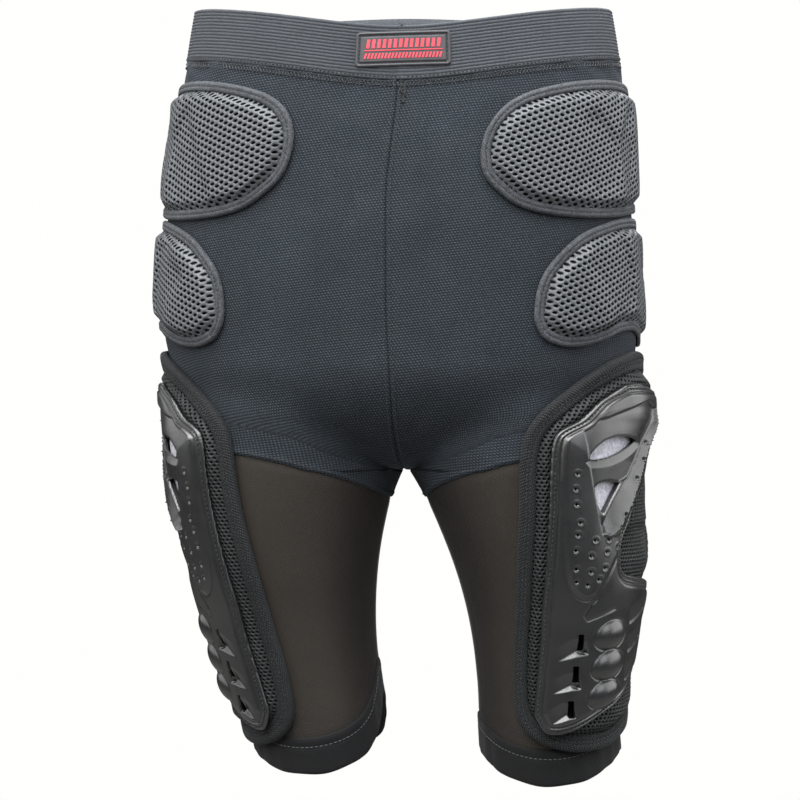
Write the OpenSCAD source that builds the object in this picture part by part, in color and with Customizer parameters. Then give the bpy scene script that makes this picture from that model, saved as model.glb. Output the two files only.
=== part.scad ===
// Padded impact shorts: knit base layer, waistband, hip, thigh and tailbone pads, vented thigh shells.
// +Z up, front towards -Y, wearer's left towards +X. The origin is the centre of the waist opening.
// Until stance() moves a point there, heights are taken from the floor. All lengths are in mm.

/* [Fabric] */
// Thickness of the knit, sheer and hem fabric
fabric_t = 1.2; // [0.8:0.1:1.4]
// Thickness of the waistband elastic
band_t = 1.8; // [1.4:0.1:2.0]
// Height of the waistband at its sides
band_h = 35; // [28:1:38]
// Height of the elastic hem of each leg
hem_h = 25; // [16:1:28]

/* [Hip and tailbone pads] */
// How far the middle of a hip pad stands off the fabric
hip_pad_h = 9.5; // [8:0.5:12]
// Width of the binding round a hip pad
hip_bind_w = 6.5; // [5:0.5:8]

/* [Thigh pads] */
// How far the middle of a thigh pad stands off the fabric
thigh_pad_h = 13; // [11:0.5:15]
// Width of the binding round a thigh pad
thigh_bind_w = 11.5; // [8:0.5:13]
// Thickness of the thigh shell
shell_t = 3; // [2:0.5:4]

/* [Stance] */
// Sideways lean of both legs, as a slope
leg_lean = 0.125; // [0:0.025:0.15]
// Turn of the waist about the vertical axis, in degrees
waist_turn = 3.3; // [0:0.3:4.5]
// Sideways shift of the waist
waist_shift = 2.8; // [0:0.4:4]
// How much further round the leg the lowest pads sit, in degrees
leg_turn = 9; // [0:1:12]
// How far the inner hem of the right leg rides up
hem_ride = 37; // [0:1:37]

/* [Hidden] */

// Sides of the body; a pad on MIDDLE lies on the back of the trunk
LEFT = 1;
RIGHT = -1;
MIDDLE = 0;
// Faces of the body, by the sign of y
FRONT = -1;
BACK = 1;

// ---- Curves ----
function lerp(a, b, t) = a + (b - a) * t;
function smooth(t) = let (x = min(max(t, 0), 1)) x * x * (3 - 2 * x);
// Catmull-Rom curve from p1 to p2; the values may be numbers or vectors
function spline(p0, p1, p2, p3, t) =
  p1 + 0.5 * t * ((p2 - p0) + t * ((2 * p0 - 5 * p1 + 4 * p2 - p3) + t * (3 * (p1 - p2) + p3 - p0)));
// count points on a closed curve through the given points
function loop(points, count) = let (n = len(points))
  [for (j = [0:count - 1]) let (u = j * n / count, i = floor(u))
    spline(points[(i + n - 1) % n], points[i % n], points[(i + 1) % n], points[(i + 2) % n], u - i)];
// Angle from 0 to 360 folded onto 0 to 180
function folded(angle) = min(angle, 360 - angle);

// ---- Body form: two leg ellipses and a trunk superellipse, blended ----
// One row every BODY_STEP of height, from the floor up. Columns: trunk half-width, trunk depth
// to the front, trunk depth to the back, leg half-width, leg half-depth, leg centre x and y
BODY_STEP = 40;
BODY = [
  [120, 90, 100, 48, 58, 78, -4],
  [120, 90, 100, 47.5, 58, 79.5, -4],
  [120, 90, 100, 48, 61, 83, -2],
  [120, 90, 100, 52.5, 68, 86.5, 2],
  [125, 90, 100, 60, 76, 87.5, 4],
  [132, 92, 104, 68, 84, 83.5, 7],
  [146, 94, 110, 78, 90, 77.5, 10],
  [156, 97, 121, 78, 92, 77, 12],
  [163.5, 99, 130, 78, 92, 77, 14],
  [162.5, 101, 131, 78, 92, 77, 14],
  [160.5, 102, 127, 78, 92, 77, 14],
  [157, 101, 118, 78, 92, 77, 14],
  [153, 98, 108, 78, 92, 77, 14],
  [147, 94, 101, 78, 92, 77, 14],
  [141, 91, 97, 78, 92, 77, 14]];
// Columns of a section: those of BODY, then how far the legs have faded out
TRUNK_SIDE = 0;
TRUNK_FRONT = 1;
TRUNK_BACK = 2;
LEG_WIDE = 3;
LEG_DEEP = 4;
LEG_X = 5;
LEG_Y = 6;
LEG_FADE = 7;

BLEND = 16;         // sharpness of the blend
TRUNK_POWER = 2.3;  // squareness of the trunk section
CLOSE_Z = 300;      // the trunk closes below this height
CLOSE_DROP = 74;    // over this depth
FADE_Z = 262;       // the legs fade out above this height
FADE_SPAN = 70;
TRUNK_Y = 4;        // y of the trunk's axis
SEAM_Y = 0.6;       // y where the legs part, as a part of the leg centre's y
ORIGIN_Z = 540;     // height of the waist opening above the floor
FAR = 230;          // length of a ray that ends outside the body
HALVINGS = 15;
LEAN_Z = 232;       // the legs lean below this height
LEAN_SOFTNESS = 14;
WAIST_Z = 400;      // the waist turns and shifts above this height
TURN_SPAN = 110;
SHIFT_SPAN = 90;

function body_row(z) = let (last = len(BODY) - 1,
  u = min(max(z / BODY_STEP, 0), last - 0.00001), i = floor(u))
  spline(BODY[max(i - 1, 0)], BODY[i], BODY[i + 1], BODY[min(i + 2, last)], u - i);
// Section of the body at one height
function section(z) = let (row = body_row(z),
  open = sqrt(max(0.0001, 1 - pow(max(0, CLOSE_Z - z) / CLOSE_DROP, 2))))
  [row[TRUNK_SIDE] * sqrt(open), row[TRUNK_FRONT] * open, row[TRUNK_BACK] * open,
   row[LEG_WIDE], row[LEG_DEEP], row[LEG_X], row[LEG_Y],
   pow(max(0, (z - FADE_Z) / FADE_SPAN), 2)];
// Level of a point [x, y] in a section: under 1 inside the body, over 1 outside
function leg_level(s, p, side) =
  norm([(p.x - side * s[LEG_X]) / s[LEG_WIDE], (p.y - s[LEG_Y]) / s[LEG_DEEP]]) + s[LEG_FADE];
function trunk_level(s, p) = let (depth = p.y < 0 ? s[TRUNK_FRONT] : s[TRUNK_BACK])
  pow(pow(abs(p.x) / s[TRUNK_SIDE], TRUNK_POWER) + pow(abs(p.y) / depth, TRUNK_POWER),
    1 / TRUNK_POWER);
function level(s, p) = let (
  left = leg_level(s, p, LEFT),
  right = leg_level(s, p, RIGHT),
  trunk = trunk_level(s, p),
  low = min(left, right, trunk))
  low - ln(exp(-BLEND * (left - low)) + exp(-BLEND * (right - low))
    + exp(-BLEND * (trunk - low))) / BLEND;
// Distance from a point along a direction to the surface, by halving
function reach(s, from, dir, far, steps, near = 0) = let (mid = (near + far) / 2)
  steps == 0 ? mid
  : level(s, from + mid * dir) < 1 ? reach(s, from, dir, far, steps - 1, mid)
  : reach(s, from, dir, mid, steps - 1, near);

// Moves a point of the upright body to its place: lean, waist shift and turn, new origin
function stance(p) = let (
  turn = waist_turn * smooth((p.z - WAIST_Z) / TURN_SPAN),
  lean = leg_lean * LEAN_SOFTNESS * ln(1 + exp((LEAN_Z - p.z) / LEAN_SOFTNESS)),
  x = p.x + lean + waist_shift * smooth((p.z - WAIST_Z) / SHIFT_SPAN))
  [x * cos(turn) - p.y * sin(turn), x * sin(turn) + p.y * cos(turn), p.z - ORIGIN_Z];
// Surface point [x, y] at height z, moved off along the surface normal.
// The slopes are per 2 mm; the vertical one is taken over 3 mm.
function pushed(s, p, z, off) = let (
  slope = [level(s, p + [1, 0]) - level(s, p - [1, 0]),
    level(s, p + [0, 1]) - level(s, p - [0, 1]),
    (level(section(z + 1.5), p) - level(section(z - 1.5), p)) * 2 / 3])
  [p.x, p.y, z] + slope * off / norm(slope);
// Point of the upright left half; phi 0 inner, 90 front, 180 outer, 270 back
function leg_raw(phi, z, off) = let (
  s = section(z), c = cos(phi), centre = [s[LEG_X], s[LEG_Y]], dir = [-c, -sin(phi)],
  far = c > 0.001 ? min(FAR, s[LEG_X] / c) : FAR)
  pushed(s, centre + reach(s, centre, dir, far, HALVINGS) * dir, z, off);
function leg_point(side, phi, z, off) = let (p = leg_raw(phi, z, off))
  stance([side * p.x, p.y, p.z]);
// Point of the trunk; angle 0 front, 90 towards +X, 180 back
function trunk_point(angle, z, off) = let (
  s = section(z), axis = [0, TRUNK_Y], dir = [sin(angle), -cos(angle)])
  stance(pushed(s, axis + reach(s, axis, dir, FAR, HALVINGS) * dir, z, off));

// Height where the legs part, by halving
function crotch(low, high, steps) = let (mid = (low + high) / 2, s = section(mid))
  steps == 0 ? mid
  : level(s, [0, s[LEG_Y] * SEAM_Y]) < 1 ? crotch(low, mid, steps - 1)
  : crotch(mid, high, steps - 1);
CROTCH_Z = crotch(150, 290, 30);
// Angle of the front or back centre seam seen from the leg's centre
function seam_phi(z, facing) = z < CROTCH_Z + 0.02 ? 0 : let (
  s = section(z), start = s[LEG_Y] * SEAM_Y,
  y = start + facing * reach(s, [0, start], [0, facing], 200, 18))
  atan2(s[LEG_Y] - y, s[LEG_X]);

// ---- Mesh builders ----
function quad(a, b, c, d) = [[a, b, c], [a, c, d]];
function flipped(faces, on) = on ? [for (f = faces) [f[2], f[1], f[0]]] : faces;
function flat(lists) = [for (l = lists) each l];

// Sheet between two grids [row][column]. wrap closes the columns;
// each hole is [first row, end row, first column, end column] of missing cells.
module sheet(outer, inner, wrap = false, flip = false, holes = []) {
  rows = len(outer);
  cols = len(outer[0]);
  cells = wrap ? cols : cols - 1;
  n = rows * cols;
  function id(i, j) = i * cols + (j % cols);
  function in_hole(i, j) =
    len([for (h = holes) if (i >= h[0] && i < h[1] && j >= h[2] && j < h[3]) 1]) > 0;
  function solid(i, j) =
    i >= 0 && i < rows - 1 && (wrap || (j >= 0 && j < cells)) && !in_hole(i, j);
  // wall between the grids along one edge of a cell
  function wall(a, b) = quad(a, b, n + b, n + a);
  faces = [for (i = [0:rows - 2], j = [0:cells - 1]) if (solid(i, j))
    let (a = id(i, j), b = id(i + 1, j), c = id(i + 1, j + 1), d = id(i, j + 1))
    each concat(
      quad(a, b, c, d),
      quad(n + a, n + d, n + c, n + b),
      solid(i - 1, j) ? [] : wall(a, d),
      solid(i + 1, j) ? [] : wall(c, b),
      (wrap || solid(i, j - 1)) ? [] : wall(b, a),
      (wrap || solid(i, j + 1)) ? [] : wall(d, c))];
  polyhedron(concat(flat(outer), flat(inner)), flipped(faces, flip));
}

// Closed pad between two lists of rings, each from a single middle point out
module pad_solid(top, bottom, flip = false) {
  last = len(top) - 1;
  n = len(top[1]);
  base = 1 + last * n;
  function id(k, j) = k == 0 ? 0 : 1 + (k - 1) * n + (j % n);
  function low(k, j) = base + id(k, j);
  faces = concat(
    [for (j = [0:n - 1]) [0, id(1, j + 1), id(1, j)]],
    [for (k = [1:last - 1], j = [0:n - 1])
      each quad(id(k, j), id(k, j + 1), id(k + 1, j + 1), id(k + 1, j))],
    [for (j = [0:n - 1]) [base, low(1, j), low(1, j + 1)]],
    [for (k = [1:last - 1], j = [0:n - 1])
      each quad(low(k, j), low(k + 1, j), low(k + 1, j + 1), low(k, j + 1))],
    [for (j = [0:n - 1])
      each quad(id(last, j), id(last, j + 1), low(last, j + 1), low(last, j))]);
  polyhedron(concat(flat(top), flat(bottom)), flipped(faces, flip));
}

// Closed ring through sections [place round the outline][point]
module ring_solid(sections, flip = false) {
  n = len(sections);
  m = len(sections[0]);
  function id(j, i) = (j % n) * m + (i % m);
  faces = [for (j = [0:n - 1], i = [0:m - 1])
    each quad(id(j, i), id(j, i + 1), id(j + 1, i + 1), id(j + 1, i))];
  polyhedron(flat(sections), flipped(faces, flip));
}

// ---- Pads ----
// Control points of the outlines, counter-clockwise: [degrees, height].
// Degrees run from the front to the outer side; on the tailbone pad, from the back towards -X.
UPPER_HIP_OUTLINE = [
  [-7.5, 440], [-5, 423], [2, 410], [9, 402.5], [20, 398], [36, 396.5], [54, 398], [74, 402],
  [94, 404], [109, 412], [115, 430], [115, 455], [107, 475], [92, 484], [74, 488.5], [56, 490.5],
  [40, 490], [26, 487.5], [13, 483], [4, 477.5], [-2.5, 469], [-6.5, 456]];
LOWER_HIP_OUTLINE = [
  [15.5, 338], [15.8, 327], [19, 317], [24, 312.5], [30, 310.5], [38, 311.5], [47, 315.5],
  [56, 320.5], [68, 321.5], [80, 317], [91, 312], [103, 312], [112, 324], [116, 345], [114, 370],
  [106, 388], [92, 396.5], [74, 398], [56, 396.5], [42, 391], [33, 384.5], [26, 375],
  [19.5, 362], [16.5, 350]];
THIGH_OUTLINE = [
  [-6, 84], [-5.5, 66], [-2, 54.5], [5, 46], [15, 40.5], [30, 37], [50, 38], [70, 43], [92, 50],
  [112, 62], [122, 85], [126, 120], [128, 160], [128, 200], [125, 240], [117, 272], [104, 294],
  [88, 304], [70, 307.5], [53, 301.5], [40, 291], [29, 278], [20.5, 266], [15.5, 254],
  [12.8, 240], [10.5, 223], [6.5, 196], [1, 162], [-2.5, 130], [-5, 104]];
TAILBONE_OUTLINE = [
  [0, 338], [9, 344], [15, 360], [20, 385], [26, 410], [30, 432], [27, 449], [16, 458],
  [0, 461], [-16, 458], [-27, 449], [-30, 432], [-26, 410], [-20, 385], [-15, 360], [-9, 344]];

PAD_LOW = 2.6;       // height of every pad's underside off the fabric's inner face
HIP_EDGE_H = 4.8;    // height of a hip or tailbone pad at its binding
THIGH_EDGE_H = 7.5;  // height of a thigh pad at its binding
BINDING_GAP = 0.2;   // gap between a binding and its cover
MESH_T = 1;
FOAM_GAP = 0.25;     // gap between the mesh cover and the foam
DOME_POWER = 2.6;    // fullness of a pad's domed face

// Columns of a pad
OUTLINE = 0;
CENTRE = 1;
DEGREE_MM = 2;       // width of one degree
RINGS = 3;           // rings in a face
BINDING_W = 4;
EDGE_H = 5;
MIDDLE_H = 6;
UPPER_HIP = [loop(UPPER_HIP_OUTLINE, 34), [52, 443], 1.7, 4, hip_bind_w, HIP_EDGE_H, hip_pad_h];
LOWER_HIP = [loop(LOWER_HIP_OUTLINE, 34), [62, 358], 1.6, 4, hip_bind_w, HIP_EDGE_H, hip_pad_h];
THIGH = [loop(THIGH_OUTLINE, 46), [58, 176], 1.35, 5, thigh_bind_w, THIGH_EDGE_H, thigh_pad_h];
TAILBONE = [loop(TAILBONE_OUTLINE, 28), [0, 405], 2.1, 3, hip_bind_w, HIP_EDGE_H, hip_pad_h];

// Leg angle phi of a pad angle; the pads sit further round the leg the lower they are
CUT_Z = 255;         // height at which the fabric's cut-outs follow the pads
function pad_turn(z) = leg_turn * (440 - z) / 380 + 1.5;
function pad_phi(side, angle, z = CUT_Z) = 90 + angle - side * pad_turn(z);
// Point of a pad at [degrees, height], off the body
function on_leg(side, p, off) = leg_point(side, pad_phi(side, p[0], p[1]), p[1], off);
function on_pad(side, p, off) = side == MIDDLE ? trunk_point(180 + p[0], p[1], off)
  : on_leg(side, p, off);
// Outline point p drawn in by some millimetres towards the centre, then scaled
function inset(pad, p, distance, scaling = 1) = let (
  v = p - pad[CENTRE], size = norm([v[0] * pad[DEGREE_MM], v[1]]))
  pad[CENTRE] + v * max(0, 1 - distance / size) * scaling;
// Rings of a face that domes from the edge height to the middle height
function pad_face(side, pad, distance, edge, middle) = concat(
  [[on_pad(side, pad[CENTRE], middle)]],
  [for (i = [1:pad[RINGS]]) let (t = i / pad[RINGS]) [for (p = pad[OUTLINE])
    on_pad(side, inset(pad, p, distance, t), edge + (middle - edge) * (1 - pow(t, DOME_POWER)))]]);
function flat_face(side, pad, distance, off) = pad_face(side, pad, distance, off, off);
// Face inside the binding, some way below the top of the cover
function cover_face(side, pad, depth) =
  pad_face(side, pad, pad[BINDING_W] + BINDING_GAP, pad[EDGE_H] - depth, pad[MIDDLE_H] - depth);

module pad_foam(side, pad)
  pad_solid(cover_face(side, pad, MESH_T + FOAM_GAP),
    flat_face(side, pad, pad[BINDING_W] + BINDING_GAP, PAD_LOW), side < 0);
module pad_mesh(side, pad)
  pad_solid(cover_face(side, pad, 0), cover_face(side, pad, MESH_T), side < 0);
module pad_binding(side, pad) {
  w = pad[BINDING_W];
  top = pad[EDGE_H] + 0.4;
  // [distance in from the outline, height]
  profile = [[0, PAD_LOW], [0, top - 1.6], [w * 0.22, top - 0.2], [w * 0.5, top],
    [w, top - 0.4], [w, PAD_LOW]];
  ring_solid([for (p = pad[OUTLINE]) [for (q = profile)
    on_pad(side, inset(pad, p, q[0]), q[1])]], side < 0);
}

// ---- Waistband ----
BAND_FRONT_Z = 523;  // upper edge at the front
BAND_RISE = 20;      // rise of the upper edge from front to side
BAND_LOW_RISE = 21;  // rise of the lower edge from front to side
BAND_BACK_RISE = 8;  // rise of both edges from side to back
BAND_OFF = 0.2;
// Heights of the band's edges, angle 0 to 180 from the front
function band_edge(angle, front, rise) =
  front + rise * smooth(angle / 90) + BAND_BACK_RISE * smooth((angle - 90) / 90);
function band_low(angle) =
  band_edge(angle, BAND_FRONT_Z + BAND_RISE - band_h - BAND_LOW_RISE, BAND_LOW_RISE);
function band_high(angle) = band_edge(angle, BAND_FRONT_Z, BAND_RISE);
module band() {
  cols = 52;
  function grid(off) = [for (i = [0:2]) [for (j = [0:cols - 1])
    let (angle = 360 * j / cols, a = folded(angle))
    trunk_point(angle, lerp(band_low(a), band_high(a), i / 2), off)]];
  sheet(grid(band_t + BAND_OFF), grid(BAND_OFF), wrap = true);
}

BADGE_Z = 507;
BADGE_HALF_ANGLE = 18.6;
BADGE_HALF_H = 11.5;
// Rounded plate bent round the front of the band
module badge_plate() {
  function rounded(v, power) = sign(v) * pow(abs(v), power);
  outline = [for (i = [0:27]) let (a = 360 * i / 28)
    [rounded(cos(a), 0.45) * BADGE_HALF_ANGLE, rounded(sin(a), 0.5) * BADGE_HALF_H]];
  function rings(edge, middle) = concat(
    [[trunk_point(0, BADGE_Z, middle)]],
    [for (t = [0.5, 0.9, 1]) [for (p = outline)
      trunk_point(p[0] * t, BADGE_Z + p[1] * t, t < 1 ? middle : edge)]]);
  pad_solid(rings(band_t + 2.2, band_t + 3.2), rings(band_t + 0.4, band_t + 0.4));
}

// ---- Fabric ----
// The panels stop short of the thigh pad, and the leg sleeve runs up under it: [pad angle, height]
PANEL_CUT = [[7.2, 0], [9.5, 240], [13, 258], [16, 268], [21, 279], [29, 293], [40, 307],
  [53, 317], [70, 320], [88, 317], [104, 307], [117, 285], [125, 254], [131, 0]];
SLEEVE_CUT = [[10.5, 0], [14, 230], [20, 248], [30, 260], [45, 272], [60, 282], [90, 288],
  [105, 278], [117, 260], [124, 238], [127.5, 0]];
// Rows of a panel, from its lower edge up; they crowd together where the legs part
PANEL_ROWS = [0, 7, 12, 16, 20, 23.5, 27, 31, 36, 42, 50, 61, 76, 96, 121, 150, 182, 214, 248, 281];
PANEL_TOP = 281;
SEAM_SPAN = 86;      // columns within this angle close up towards the centre seam
SEAM_GAP = 0.25;     // degrees left at the centre seam
SIDE_GAP = 0.15;     // degrees left at the side seam
BAND_GAP = 1.2;      // gap between a panel and the waistband
HEM_GAP = 1;         // gap between a sleeve and its hem

// Height of the band's lower edge above a leg angle
function under_band(phi) = let (p = leg_raw(phi, 500, 0))
  band_low(abs(atan2(p.x, TRUNK_Y - p.y)));
// Seam between knit and sheer fabric
function brief_z(phi) = 206 + 34 * smooth(folded(phi) / 130);
function cut_z(side, phi, cut) = lookup(phi - 90 + side * pad_turn(CUT_Z), cut);
function panel_z(side, phi) = max(brief_z(phi), cut_z(side, phi, PANEL_CUT));
function sleeve_z(side, phi) = max(brief_z(phi) - 4, cut_z(side, phi, SLEEVE_CUT));
// Lower edge of the hem
function hem_z(side, phi) = let (inner = (1 + cos(phi)) / 2)
  22 + 9 * cos(2 * phi) + (side < 0 ? hem_ride * (0.65 * pow(inner, 14) + 0.35 * inner) : 0);

module body_panel(side, facing) {
  front_pad = [4, 7, 8.3, 9.5, 13, 17, 24, 35, 52];
  back_pad = [131, 128, 125, 121, 117, 110, 102];
  cols = facing == FRONT
    ? concat([0, 18, 36, 54, 70], [for (a = front_pad) pad_phi(side, a)], [180])
    : concat([360, 340, 320, 300, 280, 262, 244], [for (a = back_pad) pad_phi(side, a)], [180]);
  // columns keep their angle, except near the seams
  function column(phi, z) = let (
    seam = -facing * seam_phi(z, facing) + SEAM_GAP,
    from_inner = facing == FRONT ? phi : 360 - phi,
    a = from_inner < SEAM_SPAN ? lerp(seam, SEAM_SPAN, from_inner / SEAM_SPAN)
      : min(from_inner, 180 - SIDE_GAP))
    facing == FRONT ? a : 360 - a;
  function grid(off) = [for (row = PANEL_ROWS) [for (phi = cols)
    let (top = under_band(column(phi, 500)) - BAND_GAP,
      z = lerp(panel_z(side, phi), top, row / PANEL_TOP))
    leg_point(side, column(phi, z), z, off)]];
  sheet(grid(fabric_t), grid(0), flip = side * facing > 0);
}

// Columns shared by a sleeve and its hem
function leg_cols(side) = concat([0, 9, 18, 27, 38, 54, 70],
  [for (a = [4, 8, 10.5, 14, 20, 30, 45, 60, 75, 90, 105, 117, 121, 124, 127.5]) pad_phi(side, a)],
  [232, 246, 262, 280, 300, 320, 333, 342, 351]);
module leg_sleeve(side) {
  rows = 7;
  function grid(off) = [for (i = [0:rows - 1]) [for (phi = leg_cols(side))
    let (low = hem_z(side, phi) + hem_h + HEM_GAP)
    leg_point(side, phi, lerp(low, sleeve_z(side, phi), i / (rows - 1)), off)]];
  sheet(grid(fabric_t), grid(0), wrap = true, flip = side < 0);
}
module leg_hem(side) {
  function grid(off) = [for (i = [0:1]) [for (phi = leg_cols(side))
    leg_point(side, phi, hem_z(side, phi) + hem_h * i, off)]];
  sheet(grid(fabric_t + 0.4), grid(0), wrap = true, flip = side < 0);
}

// ---- Thigh shell ----
// Edges of the shell and of its two windows: [height, pad angle]
SHELL_FRONT = [[50, 14], [53, 11], [58, 8.8], [65, 7], [85, 8.2], [117, 10], [140, 11], [165, 14],
  [196, 18.2], [228, 22.5], [247, 24.5], [255, 27.5], [264, 37], [276, 46], [286, 56], [288, 60]];
SHELL_OUTER = [[50, 20], [53, 28], [58, 36], [65, 47], [75, 67], [85, 86], [95, 102], [107, 107],
  [131, 107], [143, 105], [150, 97], [156, 64], [160, 53], [170, 52], [180, 53.5], [190, 59],
  [200, 65], [208, 71], [219.5, 84], [236, 97], [248, 102], [264, 103], [272, 100], [280, 92],
  [288, 72]];
WINDOW_FRONT = [[190, 35.5], [200, 37.8], [208, 37], [216, 35.8], [219.5, 43.5], [228, 38],
  [236, 36.3], [240, 39.5], [248, 46]];
WINDOW_OUTER = [[190, 42], [200, 39.4], [208, 42.5], [216, 47], [219.5, 48.9], [228, 44],
  [236, 38.4], [240, 49.2], [244, 55], [248, 60.5]];
// Heights of the shell's rows
SHELL_ROWS = [50, 53, 58, 65, 75, 85, 95, 107, 119, 131, 143, 150, 156, 160, 170, 180, 190, 200,
  208, 216, 219.5, 228, 236, 240, 244, 248, 256, 264, 272, 280, 285, 288];
// Cells of the windows, from 200 to 219.5 and from 236 to 248 high
WINDOWS = [[17, 20, 3, 5], [22, 25, 3, 5]];
SHELL_OFF = thigh_pad_h + 3;
SHELL_BEVEL = 1;     // drop of the outer face at its front and outer edges
module shell(side) {
  // a to d: front edge, window front, window outer, outer edge
  function grid(off, edge_off) = [for (z = SHELL_ROWS) let (
    a = lookup(z, SHELL_FRONT),
    d = lookup(z, SHELL_OUTER),
    b = min(max(lookup(z, WINDOW_FRONT), a + 2.4), d - 3.2),
    c = min(max(lookup(z, WINDOW_OUTER), b + 0.8), d - 2.2))
    concat([on_leg(side, [a, z], edge_off)],
      [for (p = [lerp(a, b, 0.12), lerp(a, b, 0.55), b, lerp(b, c, 0.5), c,
        lerp(c, d, 0.3), lerp(c, d, 0.6), lerp(c, d, 0.9)]) on_leg(side, [p, z], off)],
      [on_leg(side, [d, z], edge_off)])];
  top = SHELL_OFF + shell_t;
  sheet(grid(top, top - SHELL_BEVEL), grid(SHELL_OFF, SHELL_OFF), flip = side < 0, holes = WINDOWS);
}

// Oval sheet behind the windows: centre and half-sizes as [degrees, height]
LINER_CENTRE = [46, 224];
LINER_HALF = [15.5, 24.5];
module liner(side) {
  outline = [for (i = [0:19])
    LINER_CENTRE + [LINER_HALF[0] * cos(i * 18), LINER_HALF[1] * sin(i * 18)]];
  pad = [outline, LINER_CENTRE, 1.7, 2];
  pad_solid(flat_face(side, pad, 0, thigh_pad_h + 0.6),
    flat_face(side, pad, 0, thigh_pad_h + 0.2), side < 0);
}

// ---- Nodes ----
ELASTIC = [0.24, 0.25, 0.28];
BADGE = [0.16, 0.16, 0.18];
KNIT = [0.20, 0.23, 0.26];
SHEER = [0.16, 0.15, 0.14];
HEM = [0.08, 0.09, 0.10];
TAPE = [0.29, 0.31, 0.33];
NET = [0.13, 0.14, 0.15];
FOAM = [0.55, 0.56, 0.58];
LINER = [0.84, 0.84, 0.88];
MOULDED = [0.24, 0.24, 0.26];
module waistband() color(ELASTIC) band();
module waist_badge() color(BADGE) badge_plate();
module front_panel(side) color(KNIT) body_panel(side, FRONT);
module back_panel(side) color(KNIT) body_panel(side, BACK);
module leg_panel(side) color(SHEER) leg_sleeve(side);
module hem(side) color(HEM) leg_hem(side);
module upper_hip_foam(side) color(FOAM) pad_foam(side, UPPER_HIP);
module upper_hip_mesh(side) color(NET) pad_mesh(side, UPPER_HIP);
module upper_hip_binding(side) color(TAPE) pad_binding(side, UPPER_HIP);
module lower_hip_foam(side) color(FOAM) pad_foam(side, LOWER_HIP);
module lower_hip_mesh(side) color(NET) pad_mesh(side, LOWER_HIP);
module lower_hip_binding(side) color(TAPE) pad_binding(side, LOWER_HIP);
module thigh_foam(side) color(FOAM) pad_foam(side, THIGH);
module thigh_mesh(side) color(NET) pad_mesh(side, THIGH);
module thigh_binding(side) color(TAPE) pad_binding(side, THIGH);
module vent_liner(side) color(LINER) liner(side);
module thigh_shell(side) color(MOULDED) shell(side);
module tailbone_foam() color(FOAM) pad_foam(MIDDLE, TAILBONE);
module tailbone_mesh() color(NET) pad_mesh(MIDDLE, TAILBONE);
module tailbone_binding() color(TAPE) pad_binding(MIDDLE, TAILBONE);

waistband();
waist_badge();
front_panel(LEFT);  // front_panel_left
front_panel(RIGHT);  // front_panel_right
back_panel(LEFT);  // back_panel_left
back_panel(RIGHT);  // back_panel_right
leg_panel(LEFT);  // leg_panel_left
leg_panel(RIGHT);  // leg_panel_right
hem(LEFT);  // hem_left
hem(RIGHT);  // hem_right
upper_hip_foam(LEFT);  // upper_hip_foam_left
upper_hip_mesh(LEFT);  // upper_hip_mesh_left
upper_hip_binding(LEFT);  // upper_hip_binding_left
upper_hip_foam(RIGHT);  // upper_hip_foam_right
upper_hip_mesh(RIGHT);  // upper_hip_mesh_right
upper_hip_binding(RIGHT);  // upper_hip_binding_right
lower_hip_foam(LEFT);  // lower_hip_foam_left
lower_hip_mesh(LEFT);  // lower_hip_mesh_left
lower_hip_binding(LEFT);  // lower_hip_binding_left
lower_hip_foam(RIGHT);  // lower_hip_foam_right
lower_hip_mesh(RIGHT);  // lower_hip_mesh_right
lower_hip_binding(RIGHT);  // lower_hip_binding_right
thigh_foam(LEFT);  // thigh_foam_left
thigh_mesh(LEFT);  // thigh_mesh_left
thigh_binding(LEFT);  // thigh_binding_left
thigh_foam(RIGHT);  // thigh_foam_right
thigh_mesh(RIGHT);  // thigh_mesh_right
thigh_binding(RIGHT);  // thigh_binding_right
vent_liner(LEFT);  // vent_liner_left
thigh_shell(LEFT);  // thigh_shell_left
vent_liner(RIGHT);  // vent_liner_right
thigh_shell(RIGHT);  // thigh_shell_right
tailbone_foam();
tailbone_mesh();
tailbone_binding();
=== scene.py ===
# Padded compression shorts, shaped as worn: a knit brief with a ribbed waistband and rubber
# badge, sheer mesh legs with elastic hems, mesh-covered pads at hips and tailbone, and thigh
# pads that carry a hard shell. +Z is up, the front faces -Y and the wearer's left is +X.
# Lengths are mm until build() turns them into metres; heights are measured from below the
# hems and ORIGIN_Z is the height that lands on z = 0. Angles are in degrees.
#   side   1 left, -1 right, 0 the middle (trunk)       face   -1 front, 1 back
#   leg angle    0 inner, 90 front, 180 outer, 270 back
#   trunk angle  0 front, 90 left, 180 back
#   pad angle    0 front, 90 outer on a leg; 0 at the back for the tailbone pad
import math

import bpy
import numpy as np
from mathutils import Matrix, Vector


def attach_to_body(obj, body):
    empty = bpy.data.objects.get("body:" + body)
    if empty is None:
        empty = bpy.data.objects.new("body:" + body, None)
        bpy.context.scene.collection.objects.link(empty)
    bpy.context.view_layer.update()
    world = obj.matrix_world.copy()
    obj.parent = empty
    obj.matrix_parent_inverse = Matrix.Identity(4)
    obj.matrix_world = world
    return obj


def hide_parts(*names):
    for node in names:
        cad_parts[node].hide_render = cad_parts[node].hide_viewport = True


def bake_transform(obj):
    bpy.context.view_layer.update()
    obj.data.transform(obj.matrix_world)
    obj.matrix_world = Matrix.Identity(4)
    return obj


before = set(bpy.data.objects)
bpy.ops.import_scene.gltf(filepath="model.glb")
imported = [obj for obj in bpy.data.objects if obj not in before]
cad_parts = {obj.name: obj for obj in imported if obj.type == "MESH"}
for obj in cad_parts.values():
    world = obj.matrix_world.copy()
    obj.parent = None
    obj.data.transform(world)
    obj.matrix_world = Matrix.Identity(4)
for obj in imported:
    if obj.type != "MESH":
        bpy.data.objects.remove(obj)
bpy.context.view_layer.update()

# ------------------------------------------------------------------ body form
# half sizes and centres of trunk and leg at stations STATION_STEP apart in height
STATION_STEP = 40.0
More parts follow.
